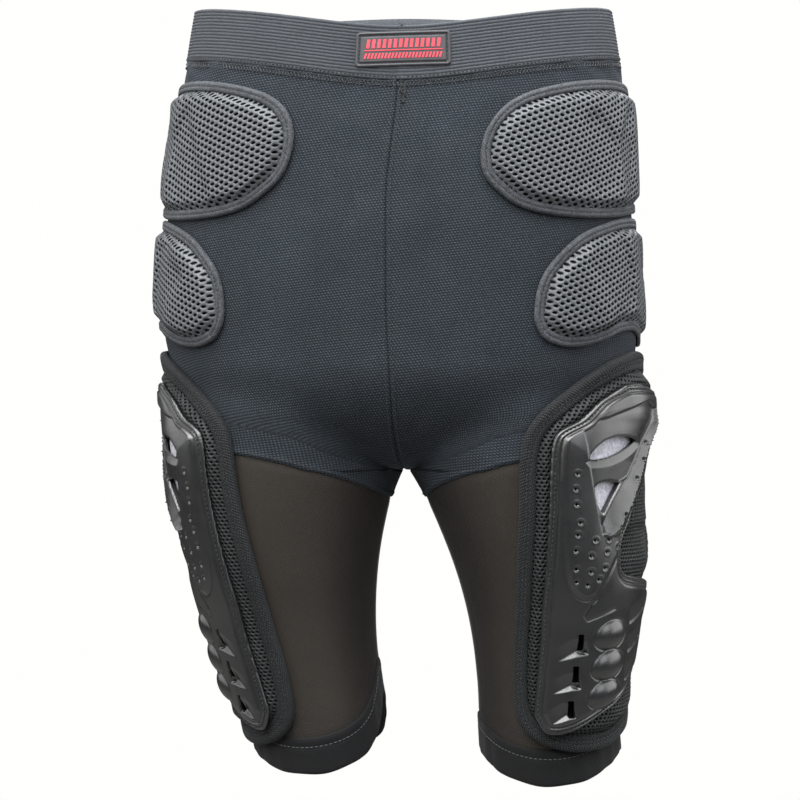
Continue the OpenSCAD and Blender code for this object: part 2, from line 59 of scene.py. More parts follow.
TRUNK_WIDTH = [120, 120, 120, 120, 125, 132, 146, 156, 163.5, 162.5, 160.5, 157, 153, 147, 141]
TRUNK_FRONT = [90, 90, 90, 90, 90, 92, 94, 97, 99, 101, 102, 101, 98, 94, 91]
TRUNK_BACK = [100, 100, 100, 100, 100, 104, 110, 121, 130, 131, 127, 118, 108, 101, 97]
LEG_WIDTH = [48, 47.5, 48, 52.5, 60, 68, 78, 78, 78, 78, 78, 78, 78, 78, 78]
LEG_DEPTH = [58, 58, 61, 68, 76, 84, 90, 92, 92, 92, 92, 92, 92, 92, 92]
LEG_X = [78, 79.5, 83, 86.5, 87.5, 83.5, 77.5, 77, 77, 77, 77, 77, 77, 77, 77]
LEG_Y = [-4, -4, -2, 2, 4, 7, 10, 12, 14, 14, 14, 14, 14, 14, 14]

UNION_SHARPNESS = 16.0              # how tightly legs and trunk merge
TRUNK_POWER = 2.3                   # superellipse power of the trunk
TRUNK_CLOSE_Z, TRUNK_DROP = 300.0, 74.0  # the trunk rounds off over this drop below this height
TRUNK_CENTRE_Y = 4
ORIGIN_Z = 540.0
LEAN, WAIST_TURN, WAIST_SHIFT, LEG_TURN = 0.125, 3.3, 2.8, 9.0  # stance
HANG = 2.4                          # sideways shift of the legs
HEM_RIDE = 37.0                     # how far the right hem rides up on the inner thigh
HEM_HEIGHT = 25.0
HIP_EDGE, HIP_CROWN, HIP_TAPE = 4.8, 9.5, 6.5          # edge and middle height, tape width
THIGH_EDGE, THIGH_CROWN, THIGH_TAPE = 7.5, 11.2, 11.5


def ease(t):
    t = np.clip(t, 0, 1)
    return t * t * (3 - 2 * t)


def hump(t):
    return np.exp(-t ** 2)


def unit(vectors):
    return vectors / np.linalg.norm(vectors, axis=-1, keepdims=True)


def spline(before, start, end, after, part):
    """Catmull-Rom curve from start to end"""
    return start + 0.5 * part * ((end - before) + part * (
        (2 * before - 5 * start + 4 * end - after) + part * (3 * (start - end) + after - before)))


def station(table, z):
    table = np.array(table, float)
    last = len(table) - 1
    row = np.clip(np.asarray(z, float) / STATION_STEP, 0, len(table) - 1.00001)
    i = np.floor(row).astype(int)
    return spline(table[np.clip(i - 1, 0, last)], table[i], table[np.clip(i + 1, 0, last)],
                  table[np.clip(i + 2, 0, last)], row - i)


class Section:
    """the body's measures at a height"""

    def __init__(self, z):
        fall = np.maximum(0, TRUNK_CLOSE_Z - z) / TRUNK_DROP
        closing = np.sqrt(np.maximum(1e-4, 1 - fall ** 2))
        self.width = station(TRUNK_WIDTH, z) * np.sqrt(closing)
        self.front = station(TRUNK_FRONT, z) * closing
        self.back = station(TRUNK_BACK, z) * closing
        self.leg_width, self.leg_depth = station(LEG_WIDTH, z), station(LEG_DEPTH, z)
        self.leg_x, self.leg_y = station(LEG_X, z), station(LEG_Y, z)
        # added levels that take the legs out above the hips and the trunk out below
        self.leg_fade = np.maximum(0, (z - 262) / 70) ** 2
        self.trunk_fade = np.where(z < TRUNK_CLOSE_Z - TRUNK_DROP + 0.06, 50.0, 0.0)

    def level(self, x, y):
        """smooth union of legs and trunk, below 1 inside the body"""
        deep = (y - self.leg_y) / self.leg_depth
        left = np.hypot((x - self.leg_x) / self.leg_width, deep) + self.leg_fade
        right = np.hypot((x + self.leg_x) / self.leg_width, deep) + self.leg_fade
        trunk = ((np.abs(x) / self.width) ** TRUNK_POWER
                 + (np.abs(y) / np.where(y < 0, self.front, self.back)) ** TRUNK_POWER
                 ) ** (1 / TRUNK_POWER) + self.trunk_fade
        least = np.minimum(np.minimum(left, right), trunk)
        return least - np.log(sum(np.exp(-UNION_SHARPNESS * (part - least))
                                  for part in (left, right, trunk))) / UNION_SHARPNESS

    def reach(self, x, y, step_x, step_y, far):
        """distance from an inside point to the surface along a direction, by bisection"""
        near = np.zeros(np.broadcast(self.width, step_x, step_y).shape)
        far = near + far
        for _ in range(22):
            middle = (near + far) / 2
            inside = self.level(x + middle * step_x, y + middle * step_y) < 1
            near = np.where(inside, middle, near)
            far = np.where(inside, far, middle)
        return (near + far) / 2

    def normal(self, x, y, z):
        below, above = Section(z - 1.5), Section(z + 1.5)
        return unit(np.stack([self.level(x + 1, y) - self.level(x - 1, y),
                              self.level(x, y + 1) - self.level(x, y - 1),
                              (above.level(x, y) - below.level(x, y)) * 2 / 3], -1))


def stance(points):
    """the upright form leant, turned and shifted into the worn stance"""
    z = points[..., 2]
    turn = np.radians(WAIST_TURN * ease((z - 400) / 110))
    x = (points[..., 0] + LEAN * 14 * np.logaddexp(0, (232 - z) / 14)
         + WAIST_SHIFT * ease((z - 400) / 90)
         + HANG * ease((338 - z) / 62) * (1 - 0.25 * ease((160 - z) / 80)))
    y = points[..., 1]
    return np.stack([x * np.cos(turn) - y * np.sin(turn),
                     x * np.sin(turn) + y * np.cos(turn), z - ORIGIN_Z], -1)


def lifted(points, normals, lift, side=1):
    """upright points raised off the surface, mirrored for the right, put in the stance"""
    raised = points + normals * np.asarray(lift)[..., None]
    raised[..., 0] *= side
    return stance(raised)


def leg_base(angle, z):
    """points and normals on the left half of the upright form"""
    angle, z = np.broadcast_arrays(np.asarray(angle, float), np.asarray(z, float))
    cut = Section(z)
    cos, sin = np.cos(np.radians(angle)), np.sin(np.radians(angle))
    # rays towards the centre line stop on it
    far = np.where(cos > 0.001, np.minimum(230, cut.leg_x / np.maximum(cos, 0.001)), 230)
    radius = cut.reach(cut.leg_x, cut.leg_y, -cos, -sin, far)
    x, y = cut.leg_x - radius * cos, cut.leg_y - radius * sin
    return np.stack([x, y, z], -1), cut.normal(x, y, z)


def trunk_base(angle, z):
    angle, z = np.broadcast_arrays(np.asarray(angle, float), np.asarray(z, float))
    cut = Section(z)
    step_x, step_y = np.sin(np.radians(angle)), -np.cos(np.radians(angle))
    radius = cut.reach(0, TRUNK_CENTRE_Y, step_x, step_y, 230)
    x, y = radius * step_x, TRUNK_CENTRE_Y + radius * step_y
    return np.stack([x, y, z], -1), cut.normal(x, y, z)


def body_point(side, angle, z, lift):
    """a point off the leg, or off the trunk for side 0"""
    base = leg_base if side else trunk_base
    return lifted(*base(angle, z), lift, side or 1)


def body_line(side, angle, z, lift):
    """points off the body with their outward normals"""
    points = body_point(side, angle, z, lift)
    return points, unit(points - body_point(side, angle, z, 0.0))


def bilinear(grid, column, row):
    column = np.clip(column, 0, grid.shape[1] - 1.001)
    row = np.clip(row, 0, grid.shape[0] - 1.001)
    i, j = row.astype(int), column.astype(int)
    part_x, part_y = column - j, row - i
    if grid.ndim == 3:
        part_x, part_y = part_x[..., None], part_y[..., None]
    return ((grid[i, j] * (1 - part_x) + grid[i, j + 1] * part_x) * (1 - part_y)
            + (grid[i + 1, j] * (1 - part_x) + grid[i + 1, j + 1] * part_x) * part_y)


class Surface:
    """the body surface on a fine grid, for quick reading"""
    ANGLE_STEP, Z_STEP = 1.0, 1.5

    def __init__(self, base, first, last, low, high=540):
        self.first, self.low = first, low
        angles = np.arange(first, last + self.ANGLE_STEP, self.ANGLE_STEP)
        heights = np.arange(low, high + self.Z_STEP, self.Z_STEP)
        self.points, self.normals = base(*np.meshgrid(angles, heights))

    def at(self, angle, z):
        place = (angle - self.first) / self.ANGLE_STEP, (z - self.low) / self.Z_STEP
        points = bilinear(self.points, *place)
        points[..., 2] = z
        return points, unit(bilinear(self.normals, *place))


LEG = Surface(leg_base, 40, 275, 0)
TRUNK = Surface(trunk_base, 120, 240, 300)


def leg_turn(z):
    """how far the pads are turned round the leg"""
    return LEG_TURN * (440 - z) / 380 + 1.5 + 1.5 * ease((338 - z) / 62)


def find_crotch():
    low, high = 150.0, 290.0
    for _ in range(40):
        middle = (low + high) / 2
        if Section(np.array(middle)).level(0.0, float(station(LEG_Y, middle)) * 0.6) < 1:
            high = middle
        else:
            low = middle
    return (low + high) / 2


CROTCH_Z = find_crotch()


def seam_angle(z, face):
    """how far the centre seam lies from leg angle 0, towards its face"""
    z = np.asarray(z, float)
    cut = Section(np.maximum(z, CROTCH_Z + 0.02))
    start = cut.leg_y * 0.6
    seam_y = start + face * cut.reach(0.0, start, 0.0 * z, face + 0.0 * z, 200)
    cut = Section(z)
    angle = np.degrees(np.arctan2(cut.leg_y - seam_y, cut.leg_x))
    return face * -np.where(z < CROTCH_Z + 0.02, 0.0, angle)


def faced(angle, face):
    """an angle from the inner side taken round the front or round the back"""
    return angle if face < 0 else 360 - angle


def band_low(angle):
    angle = np.abs(angle)
    return 487 + 21 * ease(angle / 90) + 8 * ease((angle - 90) / 90)


def band_high(angle):
    angle = np.abs(angle)
    return 523 + 20 * ease(angle / 90) + 8 * ease((angle - 90) / 90)


def band_low_on_leg(angle):
    points, _ = leg_base(angle, 500.0)
    return band_low(np.degrees(np.arctan2(points[..., 0], TRUNK_CENTRE_Y - points[..., 1])))


def hem_low(side, angle):
    inner = (1 + np.cos(np.radians(angle))) / 2
    ride = HEM_RIDE * (0.65 * inner ** 14 + 0.35 * inner) if side < 0 else 0
    return 22 + 9 * np.cos(np.radians(2 * angle)) + ride


# ------------------------------------------------------------------ meshes
def build(name, points, faces, material=None, uv=None, smooth=True):
    """a mesh object from points in mm; faces is an array or a list of arrays, a row a face"""
    points = np.asarray(points, float).reshape(-1, 3)
    faces = faces if isinstance(faces, list) else [faces]
    faces = [np.asarray(group, np.int64) for group in faces if len(group)]
    mesh = bpy.data.meshes.new(name)
    loops = np.concatenate([group.ravel() for group in faces])
    corners = np.concatenate([np.full(len(group), group.shape[1]) for group in faces])
    mesh.vertices.add(len(points))
    mesh.vertices.foreach_set("co", (points / 1000.0).astype(np.float32).ravel())
    mesh.loops.add(len(loops))
    mesh.loops.foreach_set("vertex_index", loops.astype(np.int32))
    mesh.polygons.add(len(corners))
    starts = np.concatenate([[0], np.cumsum(corners)[:-1]])
    mesh.polygons.foreach_set("loop_start", starts.astype(np.int32))
    mesh.update(calc_edges=True)
    if uv is not None:
        layer = mesh.uv_layers.new(name="uv")
        values = np.asarray(uv, float)[loops].astype(np.float32)
        layer.data.foreach_set("uv", values.ravel())
    mesh.polygons.foreach_set("use_smooth", np.full(len(corners), smooth))
    mesh.update()
    piece = bpy.data.objects.new(name, mesh)
    bpy.context.scene.collection.objects.link(piece)
    if material is not None:
        mesh.materials.append(material)
    return piece


def grid_faces(rows, columns, wrap=False, base=0):
    """quads facing out when columns run to the right and rows run up"""
    i, j = np.meshgrid(np.arange(rows - 1), np.arange(columns if wrap else columns - 1),
                       indexing="ij")
    k = (j + 1) % columns
    here, above = i * columns, (i + 1) * columns
    return (base + np.stack([here + j, here + k, above + k, above + j], -1)).reshape(-1, 4)


def ring_faces(rows, columns):
    """quads of a grid closed in both directions"""
    j = np.arange(columns)
    k = (j + 1) % columns
    last = (rows - 1) * columns
    return np.concatenate([grid_faces(rows, columns, True),
                           np.stack([last + j, last + k, k, j], -1)])


def slab(name, inner, outer, material, uv, wrap=False, flip=False):
    """closed sheet between two grids of points"""
    rows, columns = inner.shape[:2]
    count = rows * columns
    j = np.arange(columns if wrap else columns - 1)
    k = (j + 1) % columns
    top = (rows - 1) * columns
    faces = [grid_faces(rows, columns, wrap), grid_faces(rows, columns, wrap, count)[:, ::-1],
             np.stack([k, j, count + j, count + k], -1),
             np.stack([top + j, top + k, count + top + k, count + top + j], -1)]
    if not wrap:
        here = np.arange(rows - 1) * columns
        above, end = here + columns, columns - 1
        faces.append(np.stack([here, above, count + above, count + here], -1))
        faces.append(np.stack([above, here, count + here, count + above], -1) + end)
    faces = np.concatenate(faces)
    if flip:
        faces = faces[:, ::-1]
    uv = uv.reshape(-1, 2)
    points = np.concatenate([outer.reshape(-1, 3), inner.reshape(-1, 3)])
    return build(name, points, faces, material, np.concatenate([uv, uv]))


def path_length(points):
    """running length along a line of points"""
    return np.concatenate([[0], np.cumsum(np.linalg.norm(np.diff(points, axis=0), axis=1))])


def row_length(points):
    """running length along each row of a grid"""
    steps = np.linalg.norm(np.diff(points, axis=1), axis=-1)
    return np.concatenate([np.zeros((len(points), 1)), np.cumsum(steps, 1)], 1)


def wave_noise(x, y, seed, octaves=5):
    """smooth repeatable noise from summed waves, about -1 to 1"""
    random = np.random.default_rng(seed)
    out, size, rate, total = 0.0 * x, 1.0, 1.0, 0.0
    for _ in range(octaves):
        for _ in range(3):
            angle, phase = random.uniform(0, 2 * math.pi), random.uniform(0, 2 * math.pi)
            along = (x * math.cos(angle) + y * math.sin(angle)) * rate
            out = out + size * np.sin(along + phase)
            total += size * 0.6
        size *= 0.6
        rate *= 2.0
    return out / total


def smooth_closed(controls, count):
    """closed curve through control points"""
    controls = np.array(controls, float)
    size = len(controls)
    place = np.arange(count) * size / count
    i = np.floor(place).astype(int)
    return spline(*(controls[(i + k) % size] for k in (-1, 0, 1, 2)), (place - i)[:, None])


def resample(points, step):
    """even spacing round a closed line"""
    closed = np.concatenate([points, points[:1]])
    length = path_length(closed)
    count = max(8, int(round(length[-1] / step)))
    stops = np.linspace(0, length[-1], count, endpoint=False)
    return np.stack([np.interp(stops, length, closed[:, k]) for k in range(2)], -1)


def inward(line):
    """unit normals to the left of a closed anticlockwise line"""
    along = unit(np.roll(line, -1, 0) - np.roll(line, 1, 0))
    return np.stack([-along[:, 1], along[:, 0]], -1)


def smooth_inward(line, spread):
    """inward normals averaged over the neighbours within spread"""
    normals = inward(line)
    padded = np.concatenate([normals[-spread:], normals, normals[:spread]])
    total = np.cumsum(np.concatenate([np.zeros((1, 2)), padded]), 0)
    return unit((total[2 * spread + 1:] - total[:-2 * spread - 1]) / (2 * spread + 1))


def edge_distance(line, x, y, closed=True):
    """distance to an outline, positive inside; plain distance to an open line"""
    line = np.asarray(line, float)
    starts = line if closed else line[:-1]
    ends = np.roll(line, -1, 0) if closed else line[1:]
    shape = x.shape
    x, y = x.ravel(), y.ravel()
    best = np.full(x.shape, 1e9)
    inside = np.zeros(x.shape, bool)
    for (x_0, y_0), (x_1, y_1) in zip(starts, ends):
        run, rise = x_1 - x_0, y_1 - y_0
        part = ((x - x_0) * run + (y - y_0) * rise) / (run * run + rise * rise + 1e-12)
        part = np.clip(part, 0, 1)
        best = np.minimum(best, (x - x_0 - part * run) ** 2 + (y - y_0 - part * rise) ** 2)
        if closed and y_0 != y_1:
            inside ^= ((y_0 > y) != (y_1 > y)) & (x < run * (y - y_0) / rise + x_0)
    best = np.sqrt(best)
    return (np.where(inside, best, -best) if closed else best).reshape(shape)


class Field:
    """values on an even grid in the plane, read between the nodes"""

    def __init__(self, grid, low, step):
        self.grid, self.low, self.step = grid, low, step

    def at(self, x, y):
        return bilinear(self.grid, (x - self.low[0]) / self.step, (y - self.low[1]) / self.step)


def mesh_between(low, high, step):
    return np.meshgrid(np.arange(low[0], high[0], step), np.arange(low[1], high[1], step))


def distance_field(line, low, high, step=1.2):
    return Field(edge_distance(line, *mesh_between(low, high, step)), low, step)


def scatter_field(points, values, spread=3.0, step=2.5):
    """a smooth field through scattered values"""
    low, high = points.min(0) - 8, points.max(0) + 8
    x, y = mesh_between(low, high + step, step)
    nodes = np.stack([x.ravel(), y.ravel()], -1)
    out = np.empty(len(nodes))
    for k in range(0, len(nodes), 1500):
        gaps = ((nodes[k:k + 1500, None] - points[None]) ** 2).sum(-1)
        weight = np.exp(-(gaps - gaps.min(1, keepdims=True)) / (2 * spread ** 2))
        out[k:k + 1500] = (weight * values).sum(1) / weight.sum(1)
    return Field(out.reshape(x.shape), low, step)


class Chart:
    """near-true-length plane coordinates for a patch of the body: x round it, y up"""
    Z_STEP = 2.0

    def __init__(self, surface, zero, middle, first, last, low, lift):
        self.first, self.low = first, low
        angles = np.arange(first, last + 1, 1.0)
        grid = np.meshgrid(angles, np.arange(low, 520 + self.Z_STEP, self.Z_STEP))
        points, normals = surface.at(zero + grid[0], grid[1])
        length = row_length(points + normals * lift)
        centre = np.array([np.interp(middle, angles, row) for row in length])
        self.across = length - centre[:, None]
        self.stops = np.linspace(self.across.min(), self.across.max(), 400)
        self.angles = np.array([np.interp(self.stops, row, angles) for row in self.across])

    def angle(self, x, y):
        return bilinear(self.angles, (x - self.stops[0]) / (self.stops[1] - self.stops[0]),
                        (y - self.low) / self.Z_STEP)

    def flat(self, points):
        """(pad angle, height) points to the plane"""
        points = np.asarray(points, float)
        place = points[..., 0] - self.first, (points[..., 1] - self.low) / self.Z_STEP
        return np.stack([bilinear(self.across, *place), points[..., 1]], -1)


LEG_CHART = Chart(LEG, 90, middle=60, first=-40, last=150, low=0, lift=10.0)
BACK_CHART = Chart(TRUNK, 180, middle=0, first=-60, last=60, low=300, lift=8.0)


# ------------------------------------------------------------------ materials
class Look:
    """a node material with short calls for its nodes"""

    def __init__(self, name, color, roughness, specular, sheen=0.0):
        self.material = bpy.data.materials.new(name)
        self.material.use_nodes = True
        self.tree = self.material.node_tree
        self.shader = self.tree.nodes["Principled BSDF"]
        self.color = color
        self.normal = self.coords = self.object_coords = None
        self.set("Base Color", (*color, 1))
        self.set("Roughness", roughness)
        self.set("Specular IOR Level", specular)
        self.set("Sheen Weight", sheen)
        self.set("Sheen Roughness", 0.5)

    def set(self, name, value):
        self.feed(self.shader.inputs[name], value)

    def node(self, kind, **settings):
        node = self.tree.nodes.new(kind)
        for key, value in settings.items():
            setattr(node, key, value)
        return node

    def feed(self, socket, value):
        if isinstance(value, bpy.types.NodeSocket):
            self.tree.links.new(value, socket)
        else:
            socket.default_value = value

    def math(self, operation, *values):
        node = self.node("ShaderNodeMath", operation=operation)
        for k, value in enumerate(values):
            self.feed(node.inputs[k], value)
        return node.outputs[0]

    def uv(self):
        """the piece's UV map, in mm: across and up"""
        if self.coords is None:
            source = self.node("ShaderNodeUVMap", uv_map="uv")
            split = self.node("ShaderNodeSeparateXYZ")
            self.feed(split.inputs[0], source.outputs[0])
            self.coords = split.outputs[0], split.outputs[1]
        return self.coords

    def noise(self, scale, detail=2.0, grain=0.5):
        if self.object_coords is None:
            self.object_coords = self.node("ShaderNodeTexCoord").outputs["Object"]
        node = self.node("ShaderNodeTexNoise")
        self.feed(node.inputs["Scale"], scale)
        self.feed(node.inputs["Detail"], detail)
        self.feed(node.inputs["Roughness"], grain)
        self.feed(node.inputs["Vector"], self.object_coords)
        return node.outputs[0]

    def shade(self, factor):
        return (*(min(1.0, part * factor) for part in self.color), 1)

    def shades(self, value, stops):
        """colour ramp; stops holds {position: brightness of the base colour}"""
        node = self.node("ShaderNodeValToRGB")
        elements = node.color_ramp.elements
        while len(elements) < len(stops):
            elements.new(0.5)
        for k, (position, factor) in enumerate(stops.items()):
            elements[k].position = position
            elements[k].color = self.shade(factor)
        self.feed(node.inputs[0], value)
        return node.outputs[0]

    def remap(self, value, low, high, start=0.3, end=0.7):
        """start..end of the value stretched to low..high"""
        node = self.node("ShaderNodeMapRange")
        for k, item in enumerate((value, start, end, low, high)):
            self.feed(node.inputs[k], item)
        return node.outputs[0]

    def mix(self, factor, first, second, blend="MIX"):
        node = self.node("ShaderNodeMix", data_type="RGBA", blend_type=blend)
        for k, item in ((0, factor), (6, first), (7, second)):
            self.feed(node.inputs[k], item)
        return node.outputs[2]

    def wave(self, along, length, other=None, skew=0.0):
        """0..1 wave of a length in mm, slanted by a share of the other coordinate"""
        if other is not None:
            along = self.math("MULTIPLY_ADD", other, skew, along)
        phase = self.math("MULTIPLY_ADD", along, 2 * math.pi / length, 0.0)
        return self.math("MULTIPLY_ADD", self.math("SINE", phase, 0.0), 0.5, 0.5)

    def facing(self, blend):
        node = self.node("ShaderNodeLayerWeight")
        self.feed(node.inputs[0], blend)
        return node.outputs["Facing"]

    def bump(self, value, depth, strength):
        """add a layer of relief, depth in mm"""
        node = self.node("ShaderNodeBump")
        self.feed(node.inputs["Strength"], strength)
        self.feed(node.inputs["Distance"], depth / 1000.0)
        self.feed(node.inputs["Height"], value)
        if self.normal is not None:
            self.feed(node.inputs["Normal"], self.normal)
        self.normal = node.outputs[0]
        self.set("Normal", self.normal)

    def paint(self, color):
        self.set("Base Color", color)

    def paint_mottled(self, tone, mottle):
        """tone multiplied by a grey whose three channels each call mottle()"""
        grey = self.node("ShaderNodeCombineColor")
        for k in range(3):
            self.feed(grey.inputs[k], mottle())
        self.paint(self.mix(1.0, tone, grey.outputs[0], "MULTIPLY"))


def knit_look():
    look = Look("knit", (0.030, 0.038, 0.047), roughness=0.8, specular=0.22, sheen=0.04)
    look.set("Sheen Tint", (0.75, 0.85, 1, 1))
    across, up = look.uv()
    cell = look.math("MULTIPLY", look.wave(across, length=2.3, other=up, skew=0.62),
                     look.wave(up, length=1.75, other=across, skew=-0.12))
    patches = look.noise(scale=26, detail=3)
    tone = look.shades(cell, {0.0: 0.50, 0.4: 0.85, 1.0: 2.2})
    speck = look.remap(look.noise(scale=900, detail=1), low=0.8, high=1.25, start=0.35)
    look.paint_mottled(tone, lambda: look.math(
        "MULTIPLY", look.remap(patches, low=0.9, high=1.12), speck))
    look.bump(cell, depth=0.34, strength=1.0)
    look.bump(look.noise(scale=500), depth=0.10, strength=0.5)
    look.set("Roughness", look.remap(look.noise(scale=60), low=0.70, high=0.86))
    return look.material


def band_look():
    look = Look("waist_elastic", (0.060, 0.067, 0.077), roughness=0.75, specular=0.25,
                sheen=0.04)
    yarn = look.wave(look.uv()[0], length=0.9)
    fine = look.noise(scale=1400, detail=1)
    tone = look.shades(yarn, {0.0: 0.75, 1.0: 1.25})
    look.paint_mottled(tone, lambda: look.math(
        "MULTIPLY", look.remap(fine, low=0.75, high=1.3),
        look.remap(look.noise(scale=20, detail=3), low=0.92, high=1.08)))
    look.bump(yarn, depth=0.12, strength=0.7)
    look.bump(fine, depth=0.12, strength=0.5)
    return look.material


def sheer_look():
    look = Look("sheer_mesh", (0.029, 0.0252, 0.0213), roughness=0.55, specular=0.30,
                sheen=0.05)
    across, up = look.uv()
    rising = look.wave(look.math("ADD", across, up), length=1.5)
    falling = look.wave(look.math("SUBTRACT", across, up), length=1.5)
    yarn = look.math("MAXIMUM", rising, falling)
    tone = look.shades(yarn, {0.3: 0.55, 1.0: 1.7})
    # painted shade: the colour darkens towards near-black where the leg turns away from the
    # camera, more in some patches than in others
    turned = look.math(
        "MULTIPLY", look.remap(look.facing(0.45), low=0.0, high=1.0, start=0.08, end=0.75),
        look.remap(look.noise(scale=9, detail=3), low=0.75, high=1.15, start=0.25, end=0.75))
    look.paint(look.mix(turned, tone, (0.0040, 0.0042, 0.0048, 1)))
    look.bump(yarn, depth=0.12, strength=0.8)
    look.bump(look.noise(scale=45, detail=3), depth=0.4, strength=0.25)
    clear = look.node("ShaderNodeBsdfTransparent")
    look.feed(clear.inputs[0], (0.9, 0.85, 0.8, 1))
    blend = look.node("ShaderNodeMixShader")
    openness = look.remap(look.math("MULTIPLY", rising, falling), low=0.30, high=0.04,
                          start=0.0, end=1.0)
    for k, item in enumerate((openness, look.shader.outputs[0], clear.outputs[0])):
        look.feed(blend.inputs[k], item)
    look.feed(look.tree.nodes["Material Output"].inputs["Surface"], blend.outputs[0])
    return look.material


def hem_look():
    look = Look("hem_elastic", (0.0065, 0.007, 0.008), roughness=0.75, specular=0.25,
                sheen=0.06)
    across, up = look.uv()
    cell = look.math("MULTIPLY", look.wave(up, length=1.3), look.wave(across, length=1.1))
    look.paint(look.shades(cell, {0.0: 0.6, 1.0: 1.8}))
    look.bump(cell, depth=0.15, strength=0.8)
    look.bump(look.noise(scale=300, detail=3), depth=0.15, strength=0.4)
    return look.material


def hip_tape_look():
    look = Look("binding_tape", (0.048, 0.053, 0.060), roughness=0.62, specular=0.35,
                sheen=0.05)
    across, up = look.uv()
    rib = look.math("MAXIMUM", *(look.wave(across, length=1.15, other=up, skew=skew)
                                 for skew in (0.6, -0.6)))
    yarn = look.noise(scale=1250, grain=0.7)
    coarse = look.noise(scale=420, grain=0.6)
    tone = look.shades(rib, {0.0: 0.35, 0.55: 0.8, 1.0: 1.65})
    look.paint_mottled(tone, lambda: look.math(
        "MULTIPLY", look.remap(yarn, low=0.5, high=1.6), look.math(
            "MULTIPLY", look.remap(coarse, low=0.65, high=1.4),
            look.remap(look.noise(scale=40), low=0.82, high=1.15))))
    look.bump(rib, depth=0.22, strength=0.9)
    look.bump(yarn, depth=0.12, strength=0.7)
    return look.material


def thigh_tape_look():
    look = Look("thigh_tape", (0.016, 0.018, 0.020), roughness=0.68, specular=0.3, sheen=0.04)
    across, up = look.uv()
    cell = look.math("MULTIPLY", look.wave(across, length=2.0, other=up, skew=0.5),
                     look.wave(up, length=1.45, other=across, skew=-0.35))
    speck = look.noise(scale=800)
    tone = look.shades(cell, {0.0: 0.35, 0.35: 0.9, 1.0: 3.2})
    look.paint_mottled(tone, lambda: look.remap(speck, low=0.6, high=1.4))
    look.bump(cell, depth=0.45, strength=1.0)
    look.bump(speck, depth=0.12, strength=0.6)
    return look.material


def net_look(name, color, roughness):
    look = Look(name, color, roughness, specular=0.4, sheen=0.03)
    grain = look.noise(scale=1300)
    # painted shade: the net's colour darkens towards a deep grey where it turns away from the
    # camera
    turned = look.remap(look.facing(0.4), low=0.0, high=0.85, start=0.35, end=0.95)
    look.paint(look.mix(turned, look.shades(grain, {0.25: 0.6, 0.75: 1.5}), look.shade(0.15)))
    look.bump(grain, depth=0.10, strength=0.7)
    look.set("Roughness", look.remap(look.noise(scale=90), low=roughness - 0.08,
                                     high=roughness + 0.1))
    return look.material


def shell_look():
    look = Look("shell_plastic", (0.0125, 0.0131, 0.0141), roughness=0.33, specular=0.95)
    grain = look.noise(scale=1500, grain=0.6)
    patches = look.remap(look.noise(scale=14, detail=3), low=0.0, high=1.0)
    look.paint(look.mix(patches, look.shade(0.9), look.shade(1.15)))
    smear = look.noise(scale=70, detail=4, grain=0.6)
    look.set("Roughness", look.math("ADD", look.remap(smear, low=0.26, high=0.34),
                                    look.remap(grain, low=-0.03, high=0.05)))
    look.bump(grain, depth=0.035, strength=0.55)
    look.bump(look.noise(scale=160), depth=0.05, strength=0.25)
    look.set("Coat Weight", 0.12)
    look.set("Coat Roughness", 0.25)
    return look.material


def rubber_look(name, color, roughness=0.5):
    look = Look(name, color, roughness, specular=0.45)
    look.paint(look.shades(look.noise(scale=120, detail=3), {0.3: 0.88, 0.7: 1.12}))
    look.bump(look.noise(scale=1200), depth=0.05, strength=0.5)
    look.set("Roughness", look.remap(look.noise(scale=90, detail=3), low=roughness - 0.06,
                                     high=roughness + 0.1))
    return look.material


def grainy_look(look, noise, dark, light, depth, strength):
    """one noise drives both the shade and the relief"""
    look.paint(look.shades(noise, {0.3: dark, 0.7: light}))
    look.bump(noise, depth, strength)
    return look.material


def foam_look():
    look = Look("foam_cover", (0.006, 0.007, 0.008), roughness=0.9, specular=0.15, sheen=0.1)
    return grainy_look(look, look.noise(scale=700, detail=3), dark=0.6, light=1.6,
                       depth=0.15, strength=0.6)


def liner_look():
    look = Look("liner", (0.62, 0.62, 0.70), roughness=0.7, specular=0.3, sheen=0.3)
    return grainy_look(look, look.noise(scale=420, detail=3, grain=0.6), dark=0.62, light=1.2,
                       depth=0.5, strength=0.9)


def thread_look(name, color):
    look = Look(name, color, roughness=0.6, specular=0.35, sheen=0.3)
    return grainy_look(look, look.noise(scale=2600, detail=1), dark=0.6, light=1.5,
                       depth=0.06, strength=0.6)


KNIT = knit_look()
BAND = band_look()
SHEER = sheer_look()
HEM = hem_look()
HIP_BINDING = hip_tape_look()
THIGH_BINDING = thigh_tape_look()
HEX_NET = net_look("hex_mesh", (0.105, 0.114, 0.125), roughness=0.42)
SPACER_NET = net_look("spacer_mesh", (0.013, 0.0145, 0.0155), roughness=0.6)
FOAM = foam_look()
SHELL_PLASTIC = shell_look()
LINER = liner_look()
BADGE_RUBBER = rubber_look("badge_rubber", (0.055, 0.056, 0.062))
BADGE_RED = rubber_look("badge_red", (0.80, 0.06, 0.09))
THREAD = thread_look("thread_black", (0.010, 0.011, 0.012))
THREAD_GREY = thread_look("thread_grey", (0.085, 0.092, 0.10))


def side_name(side):
    return "left" if side > 0 else "right"


def attach(piece, body, replaces=None):
    """a piece that rides stiffly on one body"""
    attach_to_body(piece, body)
    if replaces:
        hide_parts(replaces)


def attach_soft(piece, replaces=None):
    """a piece baked in place and tied to no body"""
    if replaces:
        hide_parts(replaces)
    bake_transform(piece)


# ------------------------------------------------------------------ threads
def cords(name, rings, material):
    """closed cords in one mesh, from rings of shape (cord, ring, corner, 3)"""
    count, rows, corners = rings.shape[:3]
    caps = np.arange(corners)[None]
    parts = (grid_faces(rows, corners, True)[:, ::-1], caps,
             ((rows - 1) * corners + caps)[:, ::-1])
    starts = (np.arange(count) * rows * corners)[:, None, None]
    faces = [(part[None] + starts).reshape(-1, part.shape[1]) for part in parts]
    return build(name, rings, faces, material)


